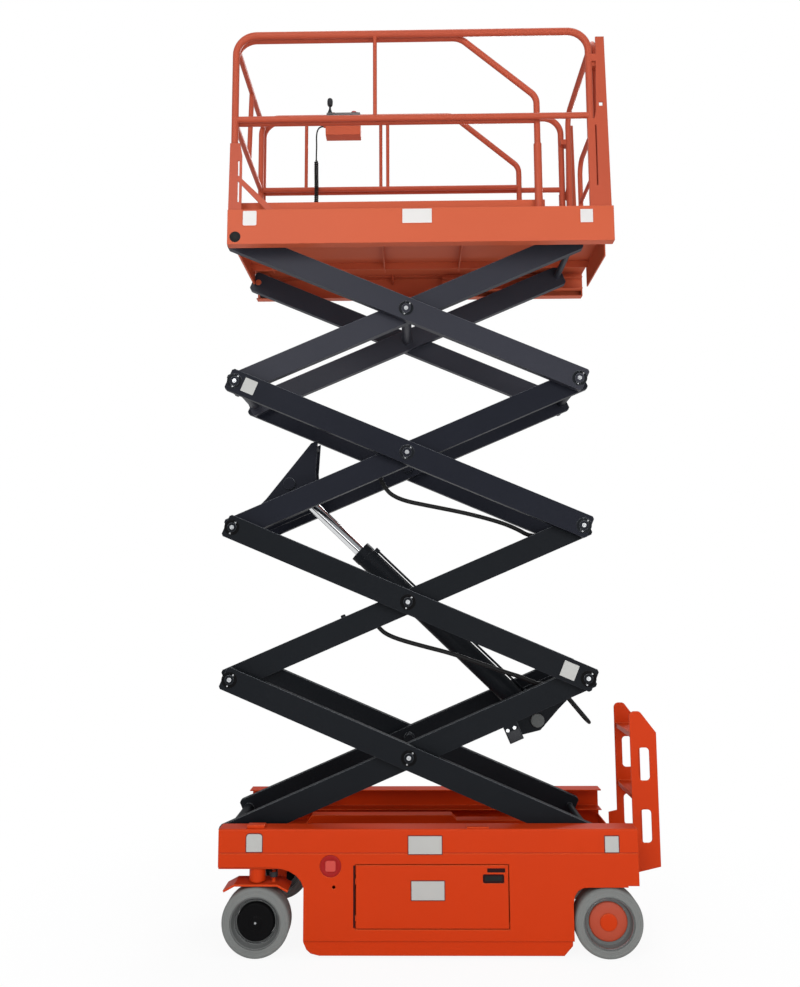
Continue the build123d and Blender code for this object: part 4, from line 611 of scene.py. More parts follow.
# %% Control cable
BOX_LEFT = MID_X - 0.661
BOX_TOP = TOP_RAIL_Z - 0.091
CORD_Y = 0.376
CORD_TOP_Z = BOX_TOP - 0.018
CORD_FOOT_X = MID_X - 0.752
CORD_RADIUS = 0.005
cable_points = [
    Vector(place) for place in (
        (BOX_LEFT - 0.018, CORD_Y - 0.020, CORD_TOP_Z),
        (MID_X - 0.703, CORD_Y - 0.020, CORD_TOP_Z),
        (MID_X - 0.724, CORD_Y - 0.016, CORD_TOP_Z - 0.026),
        (MID_X - 0.731, CORD_Y - 0.008, CORD_TOP_Z - 0.070),
        (MID_X - 0.729, CORD_Y - 0.001, CORD_TOP_Z - 0.126),
        (MID_X - 0.731, CORD_Y, CORD_TOP_Z - 0.186),
        (MID_X - 0.731, CORD_Y, CORD_TOP_Z - 0.236),
    )
]
hang_cord("control_cable", "controller_cord", "extension", cable_points, CORD_RADIUS, "hose_rubber")
coil_route = [
    cable_points[-1], Vector((MID_X - 0.731, CORD_Y, CORD_TOP_Z - 0.330)),
    Vector((MID_X - 0.728, CORD_Y + 0.002, CORD_TOP_Z - 0.470)),
    Vector((MID_X - 0.733, CORD_Y + 0.001, CORD_TOP_Z - 0.640)),
    Vector((MID_X - 0.742, CORD_Y - 0.001, CORD_TOP_Z - 0.800)),
    Vector((CORD_FOOT_X, CORD_Y, DECK_TOP + 0.120)), Vector((CORD_FOOT_X, CORD_Y, DECK_TOP + 0.030)),
]


def even_line(points, count):
    """Evenly spaced points read from the smooth spline through a route."""
    cord, _ = spline_object("route_probe", points, 0.001, "hose_rubber")
    cord.data.bevel_depth = 0
    line = bpy.data.meshes.new_from_object(cord.evaluated_get(bpy.context.evaluated_depsgraph_get()))
    spots = [vertex.co.copy() for vertex in line.vertices]
    bpy.data.objects.remove(cord)
    bpy.data.meshes.remove(line)
    reach = [0.0]
    for a, b in zip(spots, spots[1:]):
        reach.append(reach[-1] + (b - a).length)
    even = []
    for step in range(count):
        want = reach[-1] * step / (count - 1)
        index = min(next(i for i, value in enumerate(reach) if value >= want - 1e-9), len(spots) - 1)
        if index == 0:
            even.append(spots[0])
            continue
        share = (want - reach[index - 1]) / max(reach[index] - reach[index - 1], 1e-9)
        even.append(spots[index - 1].lerp(spots[index], share))
    return even


COIL_RADIUS = 0.016
CABLE_RADIUS = 0.0045
TURNS = 58
PER_TURN = 12
OPENING_TURNS = 1.5            # turns over which the coil opens at each end
line = even_line(coil_route, TURNS * PER_TURN + 1)
coil_points = []
for index, spot in enumerate(line):
    share = index / (len(line) - 1)
    opening = min(1.0, share * TURNS / OPENING_TURNS, (1 - share) * TURNS / OPENING_TURNS)
    angle = 2 * math.pi * index / PER_TURN
    reach = (COIL_RADIUS - CABLE_RADIUS) * opening
    coil_points.append(spot + Vector((math.cos(angle) * reach, math.sin(angle) * reach, 0)))
hang_cord("curly_lead", "controller_coil", "extension", coil_points, CABLE_RADIUS, "hose_rubber")

# %% [markdown]
# ## Helpers for the small parts
#
# Most small parts are drawn in a place of their own, a matrix whose X runs along a face, whose Y runs
# up it and whose Z comes out of it. A plate, a rounded box and a turned part can then be drawn with
# plain numbers on the side of the machine, on a sloping arm or on a wheel. The matrix is applied to
# the points, so the finished object itself stays at the origin.


# %% Mesh helpers
def face_place(origin, along, up, out):
    """The place of a face: X along it, Y up it, Z out of it."""
    turn = Matrix((Vector(along), Vector(up), Vector(out))).transposed().to_4x4()
    return Matrix.Translation(origin) @ turn


def side_place(way, out=HALF_WIDTH):
    """The side of the machine, with x and z as they are."""
    return face_place((0, way * out, 0), (1, 0, 0), (0, 0, 1), (0, way, 0))


def arm_place(stage, rising, y):
    """The side of an arm, from its left pin; y says how far out the face lies."""
    turn = REST_ANGLE if rising else -REST_ANGLE
    way = 1 if y > 0 else -1
    return face_place(on_arm(0, 0, y, stage, rising), (math.cos(turn), 0, math.sin(turn)),
                      (-math.sin(turn), 0, math.cos(turn)), (0, way, 0))


def add_box(shape, low, high, edge=0.002, place=Matrix(), segments=2):
    """A box with rounded edges."""
    corners = bmesh.ops.create_cube(shape, size=1.0)["verts"]
    bmesh.ops.scale(shape, vec=[b - a for a, b in zip(low, high)], verts=corners)
    bmesh.ops.translate(shape, vec=[(a + b) / 2 for a, b in zip(low, high)], verts=corners)
    bmesh.ops.transform(shape, matrix=place, verts=corners)
    edges = list({line for corner in corners for line in corner.link_edges})
    bmesh.ops.bevel(shape, geom=edges, offset=edge, segments=segments, profile=0.5, affect="EDGES",
                    clamp_overlap=True)


def join_rings(shape, rings, closed=False):
    """Faces between rings of points; a ring of one point is a pole."""
    pairs = list(zip(rings, rings[1:] + rings[:1])) if closed else list(zip(rings, rings[1:]))
    for low, high in pairs:
        count = max(len(low), len(high))
        if count == 1:
            continue
        for step in range(count):
            after = (step + 1) % count
            if len(low) == 1:
                shape.faces.new((low[0], high[after], high[step]))
            elif len(high) == 1:
                shape.faces.new((low[step], low[after], high[0]))
            else:
                shape.faces.new((low[step], low[after], high[after], high[step]))


def add_turned(shape, rows, place, segments=48, closed=False):
    """Turns rows of (out, radius) about the place's Z."""
    rings = []
    for out, radius in rows:
        if radius == 0:
            rings.append([shape.verts.new(place @ Vector((0, 0, out)))])
            continue
        ring = []
        for step in range(segments):
            angle = 2 * math.pi * step / segments
            spot = Vector((math.cos(angle) * radius, math.sin(angle) * radius, out))
            ring.append(shape.verts.new(place @ spot))
        rings.append(ring)
    join_rings(shape, rings, closed)


def rounded_outline(left, right, low, high, corner, top_corner, steps=5):
    """Points round a rectangle with round corners."""
    spots = []
    for x, y, radius, start in (
        (right - corner, low + corner, corner, -90), (right - top_corner, high - top_corner, top_corner, 0),
        (left + top_corner, high - top_corner, top_corner, 90), (left + corner, low + corner, corner, 180),
    ):
        for step in range(steps + 1):
            angle = math.radians(start + 90 * step / steps)
            spots.append((x + radius * math.cos(angle), y + radius * math.sin(angle)))
    return spots


def add_plate(shape, left, right, low, high, thick, corner, place, top_corner=None, base=-0.0003,
              edge=0.0004):
    """A plate with round corners and a small bevel round its face."""
    top_corner = corner if top_corner is None else top_corner
    rings = []
    for out, inset in ((base, 0.0), (thick - edge, 0.0), (thick, edge)):
        outline = rounded_outline(left + inset, right - inset, low + inset, high - inset,
                                  corner - inset, top_corner - inset)
        rings.append([shape.verts.new(place @ Vector((x, y, out))) for x, y in outline])
    join_rings(shape, rings)
    shape.faces.new(rings[-1])
    shape.faces.new(rings[0])


def finish_piece(name, shape, body, finish, sharp=35):
    """Makes the object, shades it and rides it on its body; shape is a bmesh or a mesh."""
    if isinstance(shape, bmesh.types.BMesh):
        bmesh.ops.recalc_face_normals(shape, faces=shape.faces)
        mesh = bpy.data.meshes.new(name)
        shape.to_mesh(mesh)
        shape.free()
    else:
        mesh = shape
    mesh.polygons.foreach_set("use_smooth", [True] * len(mesh.polygons))
    mesh.set_sharp_from_angle(angle=math.radians(sharp))
    mesh.materials.clear()
    mesh.materials.append(PAINT[finish])
    piece = bpy.data.objects.new(name, mesh)
    scene.collection.objects.link(piece)
    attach(piece, body)
    return piece


print("helpers ready")

# %% [markdown]
# ## Tyres
#
# These are solid rubber tyres pressed onto steel rims. A real one has soft shoulders, a shallow
# moulded band on each side wall and two fine grooves round its tread. A torus would be quicker, but
# has none of these. All of them turn about the axle, so a tyre is a profile spun into a ring, closed
# on itself.

# %% Tyres
TYRE_HALF = (
    # out, radius: from the rim over one shoulder to the middle of the tread
    (0.060, 0.138), (0.060, 0.149), (0.0586, 0.151), (0.0586, 0.164), (0.060, 0.166), (0.0592, 0.172),
    (0.056, 0.1785), (0.050, 0.183), (0.042, 0.185), (0.0205, 0.185), (0.019, 0.1836), (0.0175, 0.185),
)
TYRE_ROWS = list(TYRE_HALF) + [(-out, radius) for out, radius in reversed(TYRE_HALF)]


def axle_place(x, way):
    """The middle of a wheel: Z comes out of the machine along the axle."""
    return face_place((x, way * TYRE_MIDDLE, WHEEL_RADIUS), (1, 0, 0), (0, 0, 1), (0, way, 0))


WHEELS = [(place, side, x, way) for place, x in (("front", FRONT_WHEEL_X), ("rear", REAR_WHEEL_X))
          for side, way in SIDES]
for place, side, x, way in WHEELS:
    shape = bmesh.new()
    add_turned(shape, TYRE_ROWS, axle_place(x, way), 80, closed=True)
    rubber = finish_piece(f"rubber_{place}_{side}", shape, f"wheel_{place}_{side}", "tyre_rubber")
    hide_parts(f"tyre_{place}_{side}")
print("tyre faces:", len(rubber.data.polygons))

# %% [markdown]
# ## Wheels
#
# The steered wheels have a grey dished rim, a bright snap ring and a black hub cover. The wheels at
# the entry end have the same rim, a bright ring at its edge and a painted hub with a low round cap.
# The rim, the ring and the hub differ in finish, so each is a turned part of its own.

# %% Rims and hubs
RIM_ROWS = (
    (-0.056, 0.129), (-0.056, 0.1378), (0.0560, 0.1378), (0.0572, 0.1365), (0.0572, 0.1320),
    (0.0540, 0.1295), (0.0330, 0.1250), (0.0235, 0.1190), (0.0220, 0.1120), (0.0220, 0.1050),
    (-0.008, 0.1050), (-0.008, 0.129),
)
SNAP_RING_ROWS = ((0.0215, 0.1105), (0.0270, 0.1110), (0.0290, 0.1130), (0.0270, 0.1150), (0.0215, 0.1155))
EDGE_RING_ROWS = ((0.0535, 0.1270), (0.0570, 0.1272), (0.0585, 0.1285), (0.0570, 0.1298), (0.0535, 0.1300))
FRONT_HUB_ROWS = (
    (-0.040, 0.0251), (-0.040, 0.060), (-0.008, 0.060), (-0.008, 0.1046), (0.0330, 0.1010),
    (0.0400, 0.0985), (0.0435, 0.0940), (0.0450, 0.0700), (0.0445, 0.0400), (0.0460, 0.0330),
    (0.0500, 0.0305), (0.0510, 0.0270), (0.0515, 0.0), (0.0, 0.0), (0.0, 0.0251),
)
REAR_HUB_ROWS = (
    (-0.040, 0.0251), (-0.040, 0.060), (-0.008, 0.060), (-0.008, 0.1046), (0.0240, 0.1040), (0.0290, 0.0990),
    (0.0335, 0.0860), (0.0350, 0.0600), (0.0350, 0.0), (0.0, 0.0), (0.0, 0.0251),
)
REAR_CAP_ROWS = (
    (0.0340, 0.0), (0.0340, 0.0470), (0.0380, 0.0465), (0.0405, 0.0430), (0.0415, 0.0360), (0.0418, 0.0),
)

WHEEL_KINDS = {
    # hub rows, hub finish, slot, ring rows
    "front": (FRONT_HUB_ROWS, "black_wheel", "dark_wheel", SNAP_RING_ROWS),
    "rear": (REAR_HUB_ROWS, "wheel_paint", "wheel_paint", EDGE_RING_ROWS),
}


def turned_piece(name, rows, place, segments, body, finish, sharp=25, closed=True):
    """One turned part as a piece of its own."""
    shape = bmesh.new()
    add_turned(shape, rows, place, segments, closed)
    return finish_piece(name, shape, body, finish, sharp)


for place, side, x, way in WHEELS:
    body = f"wheel_{place}_{side}"
    at = axle_place(x, way)
    hub_rows, hub_finish, hub_slot, ring_rows = WHEEL_KINDS[place]
    turned_piece(f"rim_{place}_{side}", RIM_ROWS, at, 80, body, "rim_grey")
    hub = turned_piece(f"hub_{place}_{side}", hub_rows, at, 64, body, hub_finish)
    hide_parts(f"wheel_{place}_{side}")
    turned_piece(f"ring_{place}_{side}", ring_rows, at, 80, body, "bare_steel", 40)
    if place == "rear":
        turned_piece(f"cap_{side}", REAR_CAP_ROWS, at, 48, body, "chassis_paint",
                     closed=False)
print("wheels:", len(WHEELS))

# %% [markdown]
# ## Bolts, grown by Geometry Nodes
#
# The same bolt sits at every pin and bracket, so it is made once, as a node tree. The tree takes a
# mesh of loose points, each with a direction called facing, and stands a washer, a hexagon and a
# low chamfer on every point. Align Rotation to Vector turns each bolt outwards. At the end the
# instances are made real, because an instance has no mesh of its own to export.


# %% The bolt tree
def node_in(tree, kind, **values):
    """Adds a node and sets its inputs by name."""
    node = tree.nodes.new(kind)
    for label, value in values.items():
        socket = node.inputs[label.replace("_", " ")]
        if hasattr(value, "links"):
            tree.links.new(value, socket)
        else:
            socket.default_value = value
    return node


def raised(tree, geometry, height):
    """Lifts a shape along Z."""
    lift = tree.nodes.new("ShaderNodeCombineXYZ")
    tree.links.new(height, lift.inputs[2])
    move = tree.nodes.new("GeometryNodeTransform")
    tree.links.new(geometry, move.inputs["Geometry"])
    tree.links.new(lift.outputs[0], move.inputs["Translation"])
    return move.outputs[0]


def growing_tree(name, sizes):
    """An empty geometry tree with named inputs; returns (tree, its input node, its output node)."""
    tree = bpy.data.node_groups.new(name, "GeometryNodeTree")
    tree.is_modifier = True
    group_socket(tree, "Geometry", "INPUT", "NodeSocketGeometry")
    for label, value in sizes.items():
        group_socket(tree, label, "INPUT", "NodeSocketFloat", value)
    group_socket(tree, "Finish", "INPUT", "NodeSocketMaterial")
    group_socket(tree, "Geometry", "OUTPUT", "NodeSocketGeometry")
    return tree, tree.nodes.new("NodeGroupInput"), tree.nodes.new("NodeGroupOutput")


def finish_tree(tree, source, target, instances):
    """Makes the instances real and gives them their finish."""
    real = tree.nodes.new("GeometryNodeRealizeInstances")
    tree.links.new(instances, real.inputs[0])
    painted = tree.nodes.new("GeometryNodeSetMaterial")
    tree.links.new(real.outputs[0], painted.inputs["Geometry"])
    tree.links.new(source.outputs["Finish"], painted.inputs["Material"])
    tree.links.new(painted.outputs[0], target.inputs[0])


CHAMFER_SHARE = 0.82           # of the head's radius, at its top
CHAMFER_HEIGHT = 0.18          # of the head's height


def bolt_sizes(head, height, washer, washer_height):
    """The bolt tree's inputs, from a head's radius and height and a washer's."""
    return {"Head Radius": head, "Head Height": height, "Washer Radius": washer,
            "Washer Height": washer_height}


def bolt_tree():
    """A washer, a hexagon head and its chamfer on every point, turned to the point's facing."""
    tree, source, target = growing_tree("bolt_heads", bolt_sizes(0.009, 0.006, 0.012, 0.002))
    head, height = source.outputs["Head Radius"], source.outputs["Head Height"]
    washer_height = source.outputs["Washer Height"]
    washer = node_in(tree, "GeometryNodeMeshCylinder", Vertices=20, Radius=source.outputs["Washer Radius"],
                     Depth=washer_height)
    hexagon = node_in(tree, "GeometryNodeMeshCylinder", Vertices=6, Radius=head, Depth=height)
    chamfer = node_in(tree, "GeometryNodeMeshCone", Vertices=6, Radius_Bottom=head,
                      Radius_Top=math_node(tree, "MULTIPLY", head, CHAMFER_SHARE),
                      Depth=math_node(tree, "MULTIPLY", height, CHAMFER_HEIGHT))
    joined = tree.nodes.new("GeometryNodeJoinGeometry")
    middle = math_node(tree, "ADD", washer_height, math_node(tree, "MULTIPLY", height, 0.5))
    top = math_node(tree, "ADD", washer_height, height)
    foot = math_node(tree, "MULTIPLY", washer_height, 0.5)
    for part, level in ((washer, foot), (hexagon, middle), (chamfer, top)):
        tree.links.new(raised(tree, part.outputs["Mesh"], level), joined.inputs[0])
    facing = tree.nodes.new("GeometryNodeInputNamedAttribute")
    facing.data_type = "FLOAT_VECTOR"
    facing.inputs["Name"].default_value = "facing"
    turn = tree.nodes.new("FunctionNodeAlignRotationToVector")
    turn.axis = "Z"
    tree.links.new(facing.outputs["Attribute"], turn.inputs["Vector"])
    placed = tree.nodes.new("GeometryNodeInstanceOnPoints")
    tree.links.new(source.outputs["Geometry"], placed.inputs["Points"])
    tree.links.new(joined.outputs[0], placed.inputs["Instance"])
    tree.links.new(turn.outputs[0], placed.inputs["Rotation"])
    finish_tree(tree, source, target, placed.outputs[0])
    return tree


def grown(name, tree, seed, sizes, body, finish):
    """Runs a tree on a seed mesh and keeps the plain result."""
    holder = bpy.data.objects.new(name + "_seed", seed)
    scene.collection.objects.link(holder)
    modifier = holder.modifiers.new("grow", "NODES")
    modifier.node_group = tree
    for item in tree.interface.items_tree:
        if item.item_type == "SOCKET" and item.in_out == "INPUT" and item.name in sizes:
            modifier[item.identifier] = sizes[item.name]
        if item.item_type == "SOCKET" and item.in_out == "INPUT" and item.name == "Finish":
            modifier[item.identifier] = PAINT[finish]
    bpy.context.view_layer.update()
    mesh = bpy.data.meshes.new_from_object(holder.evaluated_get(bpy.context.evaluated_depsgraph_get()))
    bpy.data.objects.remove(holder)
    mesh.name = name
    return finish_piece(name, mesh, body, finish, 30)


def seed_points(spots):
    """Loose points with a facing each; spots are (place, facing) pairs."""
    seed = bpy.data.meshes.new("seed")
    seed.from_pydata([tuple(place) for place, _ in spots], [], [])
    facing = seed.attributes.new("facing", "FLOAT_VECTOR", "POINT")
    facing.data.foreach_set("vector", [value for _, out in spots for value in out])
    return seed


BOLTS = bolt_tree()
print("bolt tree nodes:", len(BOLTS.nodes))

# %% Hub bolts of the steered wheels
HUB_END = TYRE_MIDDLE + 0.0513     # just inside the end of the hub cover
for side, way in SIDES:
    end = (FRONT_WHEEL_X, way * HUB_END, WHEEL_RADIUS)
    grown(f"hub_bolt_{side}", BOLTS, seed_points([(end, (0, way, 0))]),
          bolt_sizes(0.0045, 0.003, 0.006, 0.001), f"wheel_front_{side}", "bare_steel")
print("hub bolts done")

# %% [markdown]
# ## Pins and their keepers
#
# Each pin between the arms has a bolt in its end and two small keeper plates beside it, with a bolt
# each, that stop it turning in its arm. The plates lie in a shallow round recess, which a thin ring
# stands for, turned round each pin first. The bolts of one stage grow from two point meshes, one for
# each size.

# %% Keepers at the arms' pins
MIDDLE = ARM_LENGTH / 2
PINS = {0: (0.0, MIDDLE), 1: (0.0, MIDDLE, ARM_LENGTH), 2: (0.0, MIDDLE, ARM_LENGTH), 3: (MIDDLE, ARM_LENGTH)}
KEEPER_SPOTS = ((0.004, -0.036), (0.010, 0.033))
KEEPER_PLATES = ((-0.047, -0.0275), (0.0275, 0.044))
KEEPER_HALF = 0.012
KEEPER_THICK = 0.0022
KEEPER_TILT = math.radians(6)
RECESS_ROWS = ((-0.0002, 0.045), (0.0008, 0.0448), (0.0012, 0.043), (0.0012, 0.0275), (-0.0002, 0.0275))
for stage, pins in PINS.items():
    large, small = [], []
    keepers = bmesh.new()
    for _, way in SIDES:
        place = arm_place(stage, False, way * OUTER_ARM_OUT)
        out = (0, way, 0)
        for along in pins:
            large.append((place @ Vector((along, 0, PIN_HEAD_OUT - OUTER_ARM_OUT)), out))
            for dx, dz in KEEPER_SPOTS:
                small.append((place @ Vector((along + dx, dz, KEEPER_THICK)), out))
            pin = place @ Matrix.Translation((along, 0, 0))
            add_turned(keepers, RECESS_ROWS, pin, 40, closed=True)
            tilt = pin @ Matrix.Rotation(KEEPER_TILT, 4, "Z")
            for low, high in KEEPER_PLATES:
                add_plate(keepers, -KEEPER_HALF, KEEPER_HALF, low, high, KEEPER_THICK, 0.006, tilt)
    body = f"outer_arms_{stage + 1}"
    finish_piece(f"pin_keepers_{stage + 1}", keepers, body, "black_wheel" if stage < 2 else "arm_paint")
    # the lowest arms fold down between the chassis channels, so their bolts have low heads
    head, washer = (0.0012, 0.0006) if stage == 0 else (0.004, 0.0015)
    grown(f"pin_bolts_{stage + 1}", BOLTS, seed_points(large), bolt_sizes(0.0070, head, 0.0125, washer),
          body, "bare_steel")
    grown(f"keeper_bolts_{stage + 1}", BOLTS, seed_points(small),
          bolt_sizes(0.0042, 0.0035, 0.0050, 0.0008), body, "bare_steel")
print("pins with keepers:", 2 * sum(len(pins) for pins in PINS.values()))

# %% [markdown]
# ### Small fittings of the arms
#
# The lowest rising arms carry the switch box with its two bolts, and the greased ends of the lift
# cylinder's pin. A small lug stands on top of the second rising arm. A pin's end is a turned part,
# and the lug is a thick plate with round upper corners.

# %% Fittings of the arms
SWITCH_BOLTS = ((1.684, -0.0925), (1.726, -0.0925))    # along and across the arm
CHEEK_OUT = 0.102                                      # outer face of the cheeks' bosses
LOWER_PIN = (ARM_LENGTH - 0.341, -0.152)               # the cylinder's pin, along and across
LUG_TIP = HALF_DEPTH + 0.014
switch_place = arm_place(0, True, -INNER_ARM_OUT)
switch_spots = [(switch_place @ Vector((x, z, 0)), (0, -1, 0)) for x, z in SWITCH_BOLTS]
grown("switch_bolts", BOLTS, seed_points(switch_spots), bolt_sizes(0.0075, 0.004, 0.010, 0.0012),
      "inner_arms_1", "zinc_bolts")
lid = bmesh.new()
add_box(lid, (1.673, -0.163, -0.0005), (1.747, -0.104, 0.0018), 0.0012, switch_place)
finish_piece("switch_lid", lid, "inner_arms_1", "dark_plastic")
pin_end = bmesh.new()
PIN_END = ((0.0, 0.041), (0.004, 0.0405), (0.0065, 0.0375), (0.0072, 0.020), (0.0072, 0.0), (0.0, 0.0))
for way in (-1, 1):
    cheek_place = arm_place(0, True, way * CHEEK_OUT) @ Matrix.Translation((*LOWER_PIN, 0))
    add_turned(pin_end, PIN_END, cheek_place, 48, closed=True)
finish_piece("cylinder_pin_ends", pin_end, "inner_arms_1", "greased_steel")
lug = bmesh.new()
lug_place = arm_place(1, True, -0.297)
add_plate(lug, 0.716, 0.744, HALF_DEPTH - 0.001, LUG_TIP, 0.008, 0.002, lug_place, 0.0068, base=-0.008)
finish_piece("hose_lug", lug, "inner_arms_2", "arm_paint")
print("switch, pin ends and lug done")

# %% [markdown]
# ## Blank plates
#
# The sides carry plates for the owner's notices, and they are left blank. A plate on the chassis or
# the platform is a thin sheet on a slightly larger backing, so it is made as two plates, one on the
# other. The two plates on the arms are single. A painted patch would need no mesh, but a real plate
# has round corners and a fine edge that catches the light.

# %% Plates
BORDER = 0.005                 # of the backing, seen round the plate
PLATES = (
    # name, body, left, right, low, high, corner, upper corner; left and right from the middle
    ("steered_end_plate", "chassis", -0.989, -0.894, 0.554, 0.657, 0.006, 0.022),
    ("long_plate", "chassis", -0.108, 0.082, 0.542, 0.645, 0.005, 0.005),
    ("entry_end_plate", "chassis", 0.954, 1.037, 0.551, 0.644, 0.005, 0.005),
    ("door_plate", "door_near", -0.093, 0.094, 0.304, 0.411, 0.005, 0.005),
    ("platform_plate_1", "platform", -1.066, -0.975, 4.106, 4.206, 0.012, 0.012),
    ("platform_plate_2", "platform", -0.122, 0.061, 4.111, 4.208, 0.004, 0.004),
    ("platform_plate_3", "platform", 0.925, 1.008, 4.103, 4.194, 0.004, 0.004),
)
near_side = side_place(-1)
for name, body, left, right, low, high, corner, upper in PLATES:
    if body == "platform":
        slot, rim, finish = "platform_paint", "platform_paint", "pale_plate"
    else:
        slot, rim, finish = "chassis_paint", "plate_edge", "blank_plate"
    back, face = bmesh.new(), bmesh.new()
    add_plate(back, MID_X + left, MID_X + right, low, high, 0.0010, corner, near_side, upper)
    add_plate(face, MID_X + left + BORDER, MID_X + right - BORDER, low + BORDER, high - BORDER, 0.0017,
              max(corner - 0.003, 0.0015), near_side, max(upper - 0.005, 0.0015), base=0.0007)
    finish_piece(name + "_back", back, body, rim)
    finish_piece(name, face, body, finish)
arm_plate = bmesh.new()
add_plate(arm_plate, 2.060, 2.148, -0.045, 0.045, 0.0015, 0.004, arm_place(1, False, -OUTER_ARM_OUT))
finish_piece("arm_plate", arm_plate, "outer_arms_2", "blank_plate")
high_plate = bmesh.new()
add_plate(high_plate, 0.055, 0.135, -0.040, 0.045, 0.0015, 0.004, arm_place(2, False, -OUTER_ARM_OUT))
finish_piece("high_arm_plate", high_plate, "outer_arms_3", "blank_plate")
print("plates:", len(PLATES) + 2)

# %% [markdown]
# ## Chassis trim
#
# A few small things break up the big painted sides: the welded seam under the side channel, whose
# darker strip paints the shade in its joint, two raised stops on the top edge, a dark strip down one
# side of each door that paints the shade in the gap there, the door's latch with its two dark
# recesses, and the round red reflector with its paler square middle. All are boxes, plates and turned
# parts from the helpers, so each keeps its own edges and its own finish.

# %% Seams, stops, door gap shade and latches
STOP_Y = (0.432, 0.488)
STOP_FOOT = 0.674
EDGE_STOPS = (
    # left, right, top, rounding; left and right from the middle
    (-0.985, -0.888, 0.695, 0.006), (0.215, 0.335, 0.683, 0.003),
)
LATCH_RECESSES = (
    # left, right, low, high, corner
    (0.3215, 0.4175, 0.4515, 0.4725, 0.004), (0.2975, 0.4115, 0.3955, 0.4415, 0.010),
)
for side, way in SIDES:
    face = side_place(way)
    # The seam strip is darker than the sides: painted shade in the joint line.
    seam = bmesh.new()
    add_box(seam, (CHASSIS_LEFT + 0.003, 0.5525, -0.0010), (CHASSIS_RIGHT - 0.003, 0.5550, 0.0004), 0.0003,
            face, 1)
    finish_piece(f"side_seam_{side}", seam, "chassis", "seam_painted_shade")
    stops = bmesh.new()
    inside, outside = sorted((way * STOP_Y[0], way * STOP_Y[1]))
    for left, right, top, edge in EDGE_STOPS:
        add_box(stops, (MID_X + left, inside, STOP_FOOT), (MID_X + right, outside, top), edge)
    finish_piece(f"edge_stops_{side}", stops, "chassis", "chassis_paint")
    # A dark strip down one side of each door: painted shade in the gap at the door's edge.
    gap_shade = bmesh.new()
    add_box(gap_shade, (MID_X - 0.4025, 0.166, -0.0005), (MID_X - 0.3932, 0.488, 0.0009), 0.0004, face, 1)
    finish_piece(f"door_gap_shade_{side}", gap_shade, "chassis", "recess_black")
    latch = bmesh.new()
    for left, right, low, high, corner in LATCH_RECESSES:
        add_plate(latch, MID_X + left, MID_X + right, low, high, 0.0006, corner, face, base=-0.0030)
    finish_piece(f"latch_recess_{side}", latch, f"door_{side}", "recess_black")
    paddle = bmesh.new()
    add_plate(paddle, MID_X + 0.308, MID_X + 0.401, 0.408, 0.4335, 0.0018, 0.008, face, base=0.0)
    finish_piece(f"latch_paddle_{side}", paddle, f"door_{side}", "hose_rubber")
print("chassis trim done")

# %% The dark cups in the platform's side holes
SIDE_HOLE = (MID_X - 1.106, TOP_PIN_Z - 0.033)
CUP_ROWS = (
    (-0.0030, 0.0), (-0.0030, 0.0240), (-0.0014, 0.0270), (-0.0014, 0.0328), (-0.0046, 0.0328),
    (-0.0046, 0.0),
)
cups = bmesh.new()
for _, way in SIDES:
    at = side_place(way) @ Matrix.Translation((*SIDE_HOLE, 0))
    add_turned(cups, CUP_ROWS, at, 40)
finish_piece("side_hole_cups", cups, "platform", "hose_rubber", 30)
print("cups done")

# %% The round reflector
DISC_AT = (MID_X - 0.526, 0.484)
SQUARE_HALF = 0.0275
DISC_ROWS = (
    (-0.0002, 0.0575), (0.0018, 0.0570), (0.0024, 0.0550), (0.0022, 0.0400), (0.0012, 0.0370),
    (-0.0002, 0.0370),
)
disc_place = side_place(-1) @ Matrix.Translation((*DISC_AT, 0))
turned_piece("reflector_ring", DISC_ROWS, disc_place, 64, "chassis", "red_enamel", 35)
square = bmesh.new()
add_plate(square, -SQUARE_HALF, SQUARE_HALF, -SQUARE_HALF, SQUARE_HALF, 0.0016, 0.009, disc_place)
finish_piece("reflector_middle", square, "chassis", "disc_centre")
print("reflector done")

# %% [markdown]
# ## Anti-slip decks
#
# The decks and the ladder's treads are steel plate with raised lozenges that lie crosswise. A second
# node tree lays a grid of points, turns every other lozenge by a right angle and stands one on each
# point. Which way one turns follows from its row and column being odd or even together. A bump
# texture would be lighter, but would stay flat at the deck's edge and in a close view.


# %% The tread tree
LOZENGE_HEIGHT = 0.0014
LOZENGE_SHARE = 0.32           # of a lozenge's length, across it


def tread_sizes(length, width, pitch, lozenge):
    """The tread tree's inputs."""
    return {"Length": length, "Width": width, "Pitch": pitch, "Lozenge": lozenge}


